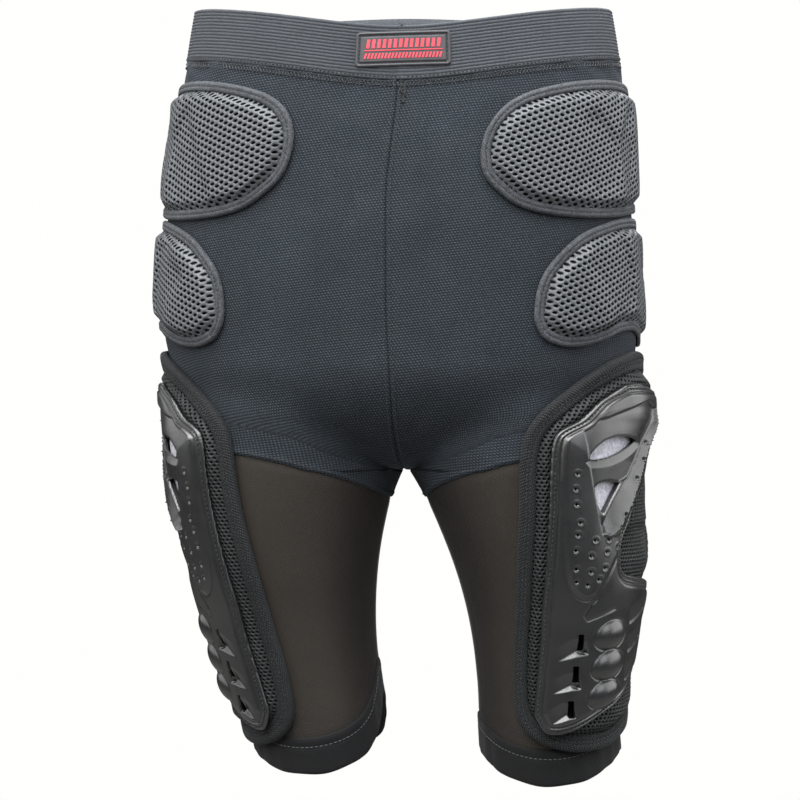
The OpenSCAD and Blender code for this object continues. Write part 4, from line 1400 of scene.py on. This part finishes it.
def thigh_pad(side, body):
    name = side_name(side)
    line, shell_line = outline(side, THIGH, 0.9), resample(LEG_CHART.flat(
        smooth_closed(SHELL, 1400)), 0.8)
    low, high = line.min(0) - 6, line.max(0) + 6
    depth, shell_depth = (distance_field(edge[::2], low, high) for edge in (line, shell_line))
    # the cover swells between its taped edge and the shell sewn over it
    flat, lift = cushion("thigh_" + name, side, THIGH, THIGH_EDGE, THIGH_CROWN, pressure=4.5,
                         rings=16, count=150)
    slack = slack_of(flat, lift, dome(THIGH_EDGE, THIGH_CROWN, depth.at(*flat.T)))

    def height(x, y):
        inside = depth.at(x, y)
        full = dome(THIGH_EDGE, THIGH_CROWN, inside) + np.clip(slack(x, y), -1.5, 1.5)
        edge = THIGH_EDGE - 1.45
        free = edge + (full - edge) * ease((inside - THIGH_TAPE + 1.0) / 8.0)
        pressed = 10.25 - 0.4
        return free + np.minimum(pressed - free, 0) * ease((shell_depth.at(x, y) + 6.0) / 6.5)
    mesh = lattice("thigh_mesh_" + name, side, low, high, height,
                   lambda x, y: (depth.at(x, y) > 9.2) & (shell_depth.at(x, y) < 6.0),
                   SPACER_NET, pitch=(3.1, 2.5), hole=(0.82, 0.66), thick=0.9, crest=0.5,
                   jitter=0.07, seed=11, turn=0.0)
    foam = foam_block("thigh_foam_" + name, side, line, np.array([8.0, 176.0]), height,
                      inset=3.0, drop=1.2, rings=40, count=300)
    attach(mesh, body, "thigh_mesh_" + name)
    attach(foam, body, "thigh_foam_" + name)
    bind("thigh_binding_" + name, "thigh_binding_stitches_" + name, "thigh_binding_" + name,
         side, body, resample(line, 0.45), 14, THIGH_PROFILE, THIGH_BINDING,
         rows=[(4.75, THIGH_EDGE + 0.2), (7.15, THIGH_EDGE + 0.22)], length=2.2, radius=0.32,
         wobble=0.22, rib=0.16, pitch=2.0)

    def put(x, y, lift):
        return place(side, x, y, lift)
    thigh_shell(side, body, shell_line, put)
    vent_liner(side, body, put)


# ------------------------------------------------------------------ cloth panels
# lower edge of the knit and upper edge of the sheer leg over the thigh: (pad angle, height)
PANEL_CUT = [[16, 0], [19, 236], [26, 252], [36, 266], [48, 276], [62, 283], [88, 284],
             [102, 274], [111, 256], [116, 240], [119, 0]]
SLEEVE_CUT = [[12, 0], [15, 244], [22, 262], [34, 278], [47, 288], [62, 294], [90, 294],
              [105, 285], [115, 266], [120, 248], [123, 0]]
CUT_TURN = leg_turn(255)


def pad_angle(side, angle):
    return angle - 90 + side * CUT_TURN


def cut_height(side, angle, table, rise):
    """the brief line raised a little, or the cut over the thigh where that is higher"""
    brief = 206 + 34 * ease(np.where(angle < 180, angle, 360 - angle) / 130)
    table = np.array(table, float)
    return np.maximum(brief + rise, np.interp(pad_angle(side, angle), table[:, 0], table[:, 1]))


def panel_low(side, angle):
    return cut_height(side, angle, PANEL_CUT, 0.0) - 0.5


def fold_field(points, side):
    """soft folds of worn cloth, in mm"""
    x, y, z = points[..., 0], points[..., 1], points[..., 2] + ORIGIN_Z
    # gathers under the waistband at the sides
    outer = ease((np.abs(x) - 70) / 50)
    folds = (1.5 * outer * np.exp(-np.maximum(0, 505 - z) / 13.0)
             * np.sin(np.arctan2(x, -y) * 26 + 0.12 * z)
             * (0.7 + 0.3 * wave_noise(x * 0.05, z * 0.05, 3)))
    # pull lines fanning out from the crotch
    radius = np.hypot(x, z - 236.0) + 1e-6
    fan = hump((radius - 34) / 30.0) * ease(radius / 14.0)
    folds = folds + 0.30 * fan * np.sin(np.arctan2(z - 236.0, x) * 11 + 1.0)
    # broad soft swells
    return folds + 0.55 * wave_noise(x * 0.035 + side, z * 0.03 + y * 0.02,
                                     22 if side > 0 else 21, 3)


def felled(distance, rise, at, width, dip, dip_width):
    """a sewn ridge beside a sharp valley"""
    return rise * hump((distance - at) / width) - dip * hump(distance / dip_width)


def panel(side, face):
    """a quarter of the knit brief"""
    front = face < 0
    name = ("front_panel_" if front else "back_panel_") + side_name(side)
    columns, rows = ((150, 190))
    # extra columns where the thigh cut starts or ends
    cuts = np.array([16.0, 17, 19] if front else [116.0, 118, 119]) + 90 - side * CUT_TURN
    spread = np.concatenate([[0, 0.6, 1.3, 2.2], np.linspace(3.2, 180, columns)])
    start = np.unique(np.concatenate([faced(spread, face), cuts]))
    if not front:
        start = start[::-1]
    away = faced(start, face)

    def column_angles(z):
        seam = seam_angle(z, face) - 0.02
        return faced(np.where(away < 86, seam + (86 - seam) * (away / 86),
                              np.minimum(away, 179.95)), face)
    low = panel_low(side, start)
    top = band_low_on_leg(column_angles(500.0 + 0 * start)) + 0.6
    # rows crowd towards the crotch
    z = low[None] + (top - low)[None] * (np.linspace(0, 1, rows) ** 1.25)[:, None]
    angle = np.stack([column_angles(row) for row in z])
    points, normals = leg_base(angle, z)
    base = lifted(points, normals, 0.0, side)
    run = row_length(base)
    rest = run[:, -1:] - run
    up = z - low[None]
    relief = (felled(run, rise=0.55, at=1.9, width=1.2, dip=0.75, dip_width=0.55)
              + felled(rest, rise=0.45, at=1.9, width=1.2, dip=0.6, dip_width=0.55)
              + felled(up, rise=0.45, at=2.2, width=1.3, dip=0.35, dip_width=0.6))
    fade = (ease(run / 7.0) * ease(rest / 7.0) * ease(up / 9.0)
            * ease((top[None] - z) / 2.5))
    # folds are pressed flat under the pads
    around = pad_angle(side, angle)
    under = ease((around + 6) / 8) * ease((120 - around) / 8)
    pressed = 1 - under * ease((z - 300) / 12) * ease((497 - z) / 6) * 0.8
    fold = np.clip(fold_field(base, side) * fade, -1.0, 1.6)
    fold = fold * np.where(under > 0.02, pressed, 1)
    piece = slab(name, lifted(points, normals, np.maximum(0.55 + fold, 0.12), side),
                 lifted(points, normals, 1.35 + fold + relief, side), KNIT,
                 np.stack([run * side * -face, z], -1), flip=side * face > 0)
    attach_soft(piece, name)


def sleeve(side):
    """the sheer leg"""
    columns, rows = ((260, 120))
    around = np.arange(columns) * 360.0 / columns
    top = cut_height(side, around, SLEEVE_CUT, 3.0)
    low = hem_low(side, around) + HEM_HEIGHT - 2.0
    z = low[None] + (top - low)[None] * np.linspace(0, 1, rows)[:, None]
    angle = np.broadcast_to(around[None], z.shape)
    points, normals = leg_base(angle, z)
    up, down = z - low[None], top[None] - z
    inner = (1 + np.cos(np.radians(angle))) / 2
    fold = 0.5 * wave_noise(angle * 0.05, z * 0.035, 32 if side > 0 else 31, 3)
    # the loose lower edge ripples on the inner thigh
    fold = fold + (0.9 * inner ** 2 * np.exp(-up / 16.0)
                   * np.sin(np.radians(angle) * 9 + z * 0.05))
    bearing = pad_angle(side, angle)
    under = ease((bearing + 8) / 6) * ease((134 - bearing) / 6) * ease((z - 34) / 6)
    fold = np.clip(fold, -0.5, 1.5) * ease(up / 6.0) * ease(down / 10.0) * (1 - 0.85 * under)
    fold = np.maximum(fold, -0.02)
    # its top tucks under the knit and its foot under the hem
    tuck = 0.55 * (1 - ease((down - 4.0) / 6.0))
    foot = 0.35 * (1 - ease(up / 5.0))
    name = "leg_panel_" + side_name(side)
    run = row_length(lifted(points, normals, 0.0, side))
    piece = slab(name, lifted(points, normals, 0.05, side),
                 lifted(points, normals, 0.95 + fold - tuck - foot, side), SHEER,
                 np.stack([run, z], -1), wrap=True, flip=side < 0)
    attach_soft(piece, name)


def hoop(name, points, heights, material, flip=False):
    """a closed band from a grid of points, its profile running up the rows"""
    faces = ring_faces(*points.shape[:2])
    if flip:
        faces = faces[:, ::-1]
    run = row_length(points)
    uv = np.stack([run, np.broadcast_to(heights[:, None], run.shape)], -1)
    return build(name, points, faces, material, uv.reshape(-1, 2))


# once round the folded hem: (height, lift), up the outside and down the inside
HEM_PROFILE = np.array([
    (-0.2, 0.3), (0.1, 1.2), (0.9, 1.75), (2.5, 1.85), (5.5, 1.8), (9, 1.78), (12, 1.8),
    (15, 1.85), (17.2, 1.8), (18.4, 1.45), (19.6, 1.85), (22, 1.95), (24.2, 1.8),
    (HEM_HEIGHT, 1.2), (24.8, 0.62), (12, 0.3), (1, 0.12)])
HEM_STITCH_UP = 18.4


def hem(side, body):
    count = 300
    around = np.arange(count) * 360.0 / count
    turn = np.radians(around)
    level, lift = HEM_PROFILE[:, :1], HEM_PROFILE[:, 1:]
    wave = 0.30 * wave_noise(turn * 4, 0 * around, 9) + 0.18 * np.sin(turn * 23)
    z = (hem_low(side, around)[None] + level
         + 0.35 * np.sin(turn * 11 + 1)[None] * (level < 3))
    points = body_point(side, around[None], z, lift + np.where(lift > 1, wave[None], 0.0))
    name = "hem_" + side_name(side)
    piece = hoop(name, points, path_length(HEM_PROFILE), HEM, side < 0)
    attach(piece, body, name)
    around = np.linspace(0, 360, 400)
    run = body_line(side, around, hem_low(side, around) + HEM_STITCH_UP, 1.65)
    sewing = stitches("hem_stitches_" + side_name(side), [run], THREAD_GREY, length=2.4,
                      gap=0.9, radius=0.24)
    attach(sewing, body)


# ------------------------------------------------------------------ waistband
BAND_RIBS = 16
RIB_STEPS = 7                       # profile steps in a rib
BAND_SEAM_ANGLE = 1.2


def signed(angle):
    return np.where(angle > 180, angle - 360, angle)


def elastic():
    """the ribbed band, a little seam at its centre front"""
    count = 420
    angle = np.arange(count) * 360.0 / count
    share = np.linspace(0, 1, BAND_RIBS * RIB_STEPS + 1)
    ribs = np.abs(np.sin(share * BAND_RIBS * math.pi)) ** 0.6
    # share of the band's height, lift, share of the rib
    profile = np.array([(-0.012, 1.2, 0)] + [(at, 1.72, rib) for at, rib in zip(share, ribs)]
                       + [(1.008, 1.2, 0), (1.004, 0.5, 0), (0.75, 0.2, 0), (0.25, 0.25, 0),
                          (0.02, 0.7, 0)])
    level, lift, rib = (profile[:, k:k + 1] for k in range(3))
    low, high = band_low(signed(angle)), band_high(signed(angle))
    turn = np.radians(angle)
    wave = 0.35 * wave_noise(turn * 5, 0 * angle, 12) + 0.12 * np.sin(turn * 47)
    # 1.75 mm to a degree at the front
    seam = felled(np.abs(signed(angle) - BAND_SEAM_ANGLE) * 1.75,
                  rise=0.35, at=1.5, width=0.9, dip=0.75, dip_width=0.5)
    relief = np.where(lift > 1, wave[None] + seam[None] * (lift > 1.5), 0)
    points = body_point(0, angle[None], low[None] + (high - low)[None] * level,
                        lift + rib * 0.62 + relief)
    heights = np.concatenate([[0], np.cumsum(np.abs(np.diff(profile[:, 0])) * 36)])
    attach(hoop("waistband", points, heights, BAND), "hips", "waistband")


def band_stitches():
    """three rows along the lower edge, with a zigzag between the lower two"""
    angle = np.linspace(0, 360, 1500)
    runs = [body_line(0, angle, band_low(signed(angle)) + rise, lift)
            for rise, lift in ((1.7, 2.3), (-1.4, 2.0), (-4.2, 1.95))]
    rows = stitches("waist_stitches", runs, radius=0.32)
    angle = np.linspace(0, 360, 720)
    zigzag = np.where(np.arange(720) % 2 == 0, -1.5, -4.1)
    points, normals = (np.concatenate([line, line[:1]]) for line in
                       body_line(0, angle, band_low(signed(angle)) + zigzag, 1.85))
    rings = cord_rings(points, normals, high=0.16, wide=0.22, corners=5)
    cover = cords("waist_cover_stitch", rings[None], THREAD_GREY)
    for piece in (rows, cover):
        attach(piece, "hips")


def thread_ends():
    """loose ends at the band's seam, seven at the top and seven at the bottom"""
    random = np.random.default_rng(5)
    rings = []
    for k in range(14):
        top = k < 7
        angle = BAND_SEAM_ANGLE + random.uniform(-0.7, 0.7)
        z = 522.5 if top else 481.0 + random.uniform(-6, 3)
        root = body_point(0, angle, z, 1.9)
        aim = unit(np.array([random.uniform(-0.7, 0.9), -0.25,
                             random.uniform(0.3, 1.0) if top else random.uniform(-0.9, 0.4)]))
        share = np.linspace(0, 1, 9)[:, None]
        bend = np.array([random.uniform(-1.5, 1.5), -0.5, -1.2])
        points = root + aim * share * random.uniform(2.0, 4.2) + bend * share ** 2
        normals = np.broadcast_to(np.array([0.0, -1.0, 0.0]), points.shape)
        rings.append(cord_rings(points, normals, high=0.2, wide=0.2, corners=5))
    attach(cords("waist_thread_ends", np.stack(rings), THREAD), "hips")


# ------------------------------------------------------------------ badge
BADGE_HALF = (31.8, 11.9)
BADGE_CORNER = 3.0
BADGE_STITCH_IN, BADGE_STITCH_CORNER = 2.75, 1.4
BADGE_Z, BADGE_ANGLE = 507.3, 1.6
BADGE_TILT = 0.028                  # rise towards the wearer's left
# rim moulding: distance in from the edge, added height
BADGE_IN = [0, 0.3, 0.8, 1.5, 1.9, 2.4, 3.0, 3.5, 4.0, 4.4]
BADGE_RISE = [-1.0, -0.35, 0.5, 0.62, 0.3, -0.5, -0.55, 0.25, 0.45, 0.42]
BAND_ANGLES = np.linspace(-40, 40, 801)
BAND_RUN = path_length(body_point(0, BAND_ANGLES, 507.0, 3.0))
BAND_RUN -= np.interp(BADGE_ANGLE, BAND_ANGLES, BAND_RUN)


def on_band(x, y, lift):
    """badge plane bent round the band: x to the wearer's left, y up"""
    angle = np.interp(x, BAND_RUN, BAND_ANGLES)
    return body_point(0, angle, BADGE_Z + y + BADGE_TILT * x, lift)


def badge_plate():
    step = 0.3
    half_x, half_y = BADGE_HALF
    x, y = np.meshgrid(np.arange(-half_x - 1, half_x + 1.01, step),
                       np.arange(-half_y - 1, half_y + 1.01, step))
    past_x = np.abs(x) - half_x + BADGE_CORNER
    past_y = np.abs(y) - half_y + BADGE_CORNER
    inside = -(np.hypot(np.maximum(past_x, 0), np.maximum(past_y, 0))
               + np.minimum(np.maximum(past_x, past_y), 0) - BADGE_CORNER)
    top = (3.4 + np.interp(inside, BADGE_IN, BADGE_RISE)
           + 0.03 * wave_noise(x * 0.8, y * 0.8, 2))
    top = Field(top, (x.min(), y.min()), step)
    piece = plate("waist_badge", x, y, inside, top.at, lambda x, y: 2.45 + 0 * x, on_band,
                  BADGE_RUBBER)
    attach(piece, "hips", "waist_badge")


def badge_stitches():
    """a row in the groove inside the badge's rim"""
    radius = BADGE_STITCH_CORNER
    half_x, half_y = (half - BADGE_STITCH_IN - radius for half in BADGE_HALF)
    corners = []
    for x, y, start in ((half_x, half_y, 0), (-half_x, half_y, 90), (-half_x, -half_y, 180),
                        (half_x, -half_y, 270)):
        for k in range(7):
            turn = math.radians(start + 15 * k)
            corners.append((x + radius * math.cos(turn), y + radius * math.sin(turn)))
    line = resample(np.array(corners), 0.5)
    x, y = np.concatenate([line, line[:1]]).T
    points = on_band(x, y, 3.0)
    sewing = stitches("badge_stitches", [(points, unit(points - on_band(x, y, 1.0)))],
                      length=1.9, gap=0.7, radius=0.26, sink=0.0)
    attach(sewing, "hips")


def badge_marks():
    """plain slanted bars: a tall row, a thin line and a small row"""
    # start, end, bottom, top, slant, height
    bars = [(-24.6 + 3.6 * k, -22.5 + 3.6 * k, 0.6, 6.4, 0.12, 4.25) for k in range(14)]
    bars.append((-25.5, 26.0, -1.25, -0.65, 0.0, 4.25))
    bars += [(-26.0 + 2.25 * k, -24.75 + 2.25 * k, -6.4, -2.8, 0.3, 4.2) for k in range(23)]
    count = 5
    j = np.arange(count - 1)
    sides = np.concatenate([
        grid_faces(4, count), np.stack([3 * count + j, 3 * count + j + 1, j + 1, j], -1),
        [[0, count, 2 * count, 3 * count],
         [4 * count - 1, 3 * count - 1, 2 * count - 1, count - 1]]])
    points, faces = [], []
    for k, (start, end, bottom, top, slant, height) in enumerate(bars):
        for y, lift in ((bottom, 3.6), (bottom, height), (top, height), (top, 3.6)):
            x = np.linspace(start, end, count) + slant * (y - bottom)
            points.append(on_band(x, y, lift))
        faces.append(sides + 4 * count * k)
    piece = build("badge_marks", np.concatenate(points), np.concatenate(faces), BADGE_RED,
                  smooth=False)
    attach(piece, "hips")


# ------------------------------------------------------------------ seams of the brief
def bar_tack():
    """dense cross stitches under the band at the centre front"""
    random = np.random.default_rng(17)
    share = np.linspace(-1, 1, 7)
    rings = []
    for k in range(26):
        z = 484.0 - 13.0 * k / 26 + random.uniform(-0.2, 0.2) + 0.3 * share
        points = body_point(0, 2.6 + share * 0.75 * random.uniform(0.7, 1.1), z,
                            1.7 + 0.35 * np.cos(share * 1.5))
        normals = unit(points - body_point(0, 2.6 + share * 0.75, z, 0.0))
        rings.append(cord_rings(points, normals, high=0.3, wide=0.32, corners=6))
    attach(cords("bar_tack", np.stack(rings), THREAD), "hips")


def brief_stitches(side):
    """a row along the brief's lower edge, left out over the thigh pad"""
    runs = []
    turn = side * CUT_TURN
    for start, end in ((3, 90 + 5.5 - turn), (90 + 130.5 - turn, 357)):
        angle = np.linspace(start, end, 240)
        runs.append(body_line(side, angle, panel_low(side, angle) + 2.2, 1.98))
    attach_soft(stitches("brief_seam_stitches_" + side_name(side), runs, radius=0.22))


def centre_line(z, face):
    """points on the centre seam with normals that have no sideways part"""
    points, normals = leg_base(faced(seam_angle(z, face), face), z)
    level = normals.copy()
    level[:, 0] = 0
    return points, normals, unit(level)


def centre_stitches(side):
    """rows beside the centre seam, front and back"""
    runs = []
    for face in (-1, 1):
        points, normals, level = centre_line(np.linspace(238, 500, 400), face)
        points = points + normals * 1.85
        points[:, 0] = 2.6 * side
        runs.append((stance(points), level))
    sewing = stitches("centre_seam_stitches_" + side_name(side), runs, length=2.2, gap=0.9,
                      radius=0.2)
    attach_soft(sewing)


def seam_allowance(side):
    """a narrow strip inside over the join, from the front band to the back"""
    share = np.linspace(1, 0, 90) ** 1.6
    lines = [centre_line(CROTCH_Z + 0.06 + (503 - CROTCH_Z) * part, face)
             for face, part in ((-1, share), (1, share[::-1]))]
    points, _, normals = (np.concatenate(pair) for pair in zip(*lines))
    across = np.linspace(-2.4, 2.8, 7) * side
    # the right strip lies just over the left one
    raise_ = 0.0 if side > 0 else 0.08

    def strip(lift):
        grid = np.repeat((points + normals * lift)[:, None], len(across), 1)
        grid[..., 0] = across
        return stance(grid)
    along = np.arange(len(points), dtype=float)[:, None] * 3.0 + 0 * across
    piece = slab("seam_allowance_" + side_name(side), strip(0.02 + raise_),
                 strip(0.56 + raise_), KNIT, np.stack([0 * along + across, along], -1),
                 flip=side > 0)
    attach_soft(piece)


# ------------------------------------------------------------------ build the shorts
for side in (1, -1):
    leg_body = side_name(side) + "_leg"
    hip_pad("upper_hip", side, UPPER_HIP)
    hip_pad("lower_hip", side, LOWER_HIP)
    thigh_pad(side, leg_body)
    for face in (-1, 1):
        panel(side, face)
    sleeve(side)
    hem(side, leg_body)
hip_pad("tailbone", 0, TAILBONE)
elastic()
band_stitches()
thread_ends()
badge_plate()
badge_stitches()
badge_marks()
bar_tack()
for side in (1, -1):
    brief_stitches(side)
    centre_stitches(side)
    seam_allowance(side)

# ------------------------------------------------------------------ stage, in metres
FLOOR_Z, FLOOR_HALF = -1.05, 9
PALE = (1.0, 0.997, 0.985, 1)
MIDDLE = (0.0, 0.0, -0.267)
WHITE = (1, 1, 1)
# name, place, target, width, height, power, colour
LIGHTS = [
    ("key", (-0.25, -1.35, 1.25), (0.0, 0.0, -0.25), 1.7, 1.5, 56, WHITE),
    ("fill", (1.5, -1.05, 0.55), MIDDLE, 0.9, 1.2, 11, (0.97, 0.98, 1.0)),
    ("fill2", (-1.5, -1.05, 0.5), MIDDLE, 0.9, 1.2, 13, (1.0, 0.98, 0.95)),
    ("side", (1.9, 0.35, 0.3), MIDDLE, 1.8, 1.4, 21, WHITE),
    ("side2", (-1.9, 0.35, 0.3), MIDDLE, 1.8, 1.4, 12, WHITE),
    ("top", (0.0, -0.2, 1.5), MIDDLE, 2.0, 1.5, 66, WHITE),
    ("back", (0.0, 1.6, 0.9), MIDDLE, 1.6, 1.0, 20, WHITE),
]
CAMERA_AZIMUTH, CAMERA_ELEVATION = math.radians(5), math.radians(1)
CAMERA_DISTANCE = 1.9
CAMERA_TARGET = Vector((0.0005, 0.0, -0.267))


def pale_material():
    """glows pale to the camera and is a dull grey to all other rays"""
    material = bpy.data.materials.new("stage_pale")
    material.use_nodes = True
    tree = material.node_tree
    rays, glow, dull, mix, share = (tree.nodes.new("ShaderNode" + kind) for kind in (
        "LightPath", "Emission", "BsdfDiffuse", "MixShader", "Math"))
    glow.inputs[0].default_value = PALE
    dull.inputs[0].default_value = (0.22, 0.217, 0.21, 1)
    share.operation = "MULTIPLY"
    share.inputs[1].default_value = 1.0     # share of the glow the camera sees
    surface = tree.nodes["Material Output"].inputs["Surface"]
    for source, target in ((rays.outputs["Is Camera Ray"], share.inputs[0]),
                           (share.outputs[0], mix.inputs[0]),
                           (dull.outputs[0], mix.inputs[1]),
                           (glow.outputs[0], mix.inputs[2]),
                           (mix.outputs[0], surface)):
        tree.links.new(source, target)
    return material


def add_floor():
    mesh = bpy.data.meshes.new("floor")
    corners = [(x * FLOOR_HALF, y * FLOOR_HALF, FLOOR_Z)
               for x, y in ((-1, -1), (1, -1), (1, 1), (-1, 1))]
    mesh.from_pydata(corners, [], [(0, 1, 2, 3)])
    mesh.polygons[0].use_smooth = True
    mesh.materials.append(pale_material())
    floor = bpy.data.objects.new("floor", mesh)
    scene.collection.objects.link(floor)


def add_world():
    """even light round the object; seen straight on it is as pale as the floor"""
    scene.world = bpy.data.worlds.new("world")
    scene.world.use_nodes = True
    tree = scene.world.node_tree
    background = tree.nodes["Background"]
    background.inputs[0].default_value = PALE
    rays = tree.nodes.new("ShaderNodeLightPath")
    strength = tree.nodes.new("ShaderNodeMapRange")
    strength.inputs["To Min"].default_value = 0.09
    strength.inputs["To Max"].default_value = 1.0
    tree.links.new(rays.outputs["Is Camera Ray"], strength.inputs[0])
    tree.links.new(strength.outputs[0], background.inputs[1])


def aim(item, target):
    item.rotation_euler = (Vector(target) - item.location).to_track_quat("-Z", "Y").to_euler()


def add_light(name, location, target, width, height, power, color):
    light = bpy.data.lights.new(name, "AREA")
    light.shape = "RECTANGLE"
    light.size = width
    light.size_y = height
    light.energy = power
    light.color = color
    lamp = bpy.data.objects.new(name, light)
    lamp.location = location
    aim(lamp, target)
    scene.collection.objects.link(lamp)


def add_camera():
    lens = bpy.data.cameras.new("camera")
    lens.lens = 122.1
    lens.sensor_width = 36
    lens.clip_end = 50
    camera = bpy.data.objects.new("camera", lens)
    scene.collection.objects.link(camera)
    level = math.cos(CAMERA_ELEVATION)
    camera.location = CAMERA_TARGET + CAMERA_DISTANCE * Vector((
        math.sin(CAMERA_AZIMUTH) * level, -math.cos(CAMERA_AZIMUTH) * level,
        math.sin(CAMERA_ELEVATION)))
    aim(camera, CAMERA_TARGET)
    scene.camera = camera


scene = bpy.context.scene
scene.frame_set(1)
add_floor()
add_world()
for light in LIGHTS:
    add_light(*light)
add_camera()
scene.view_settings.view_transform = "Standard"
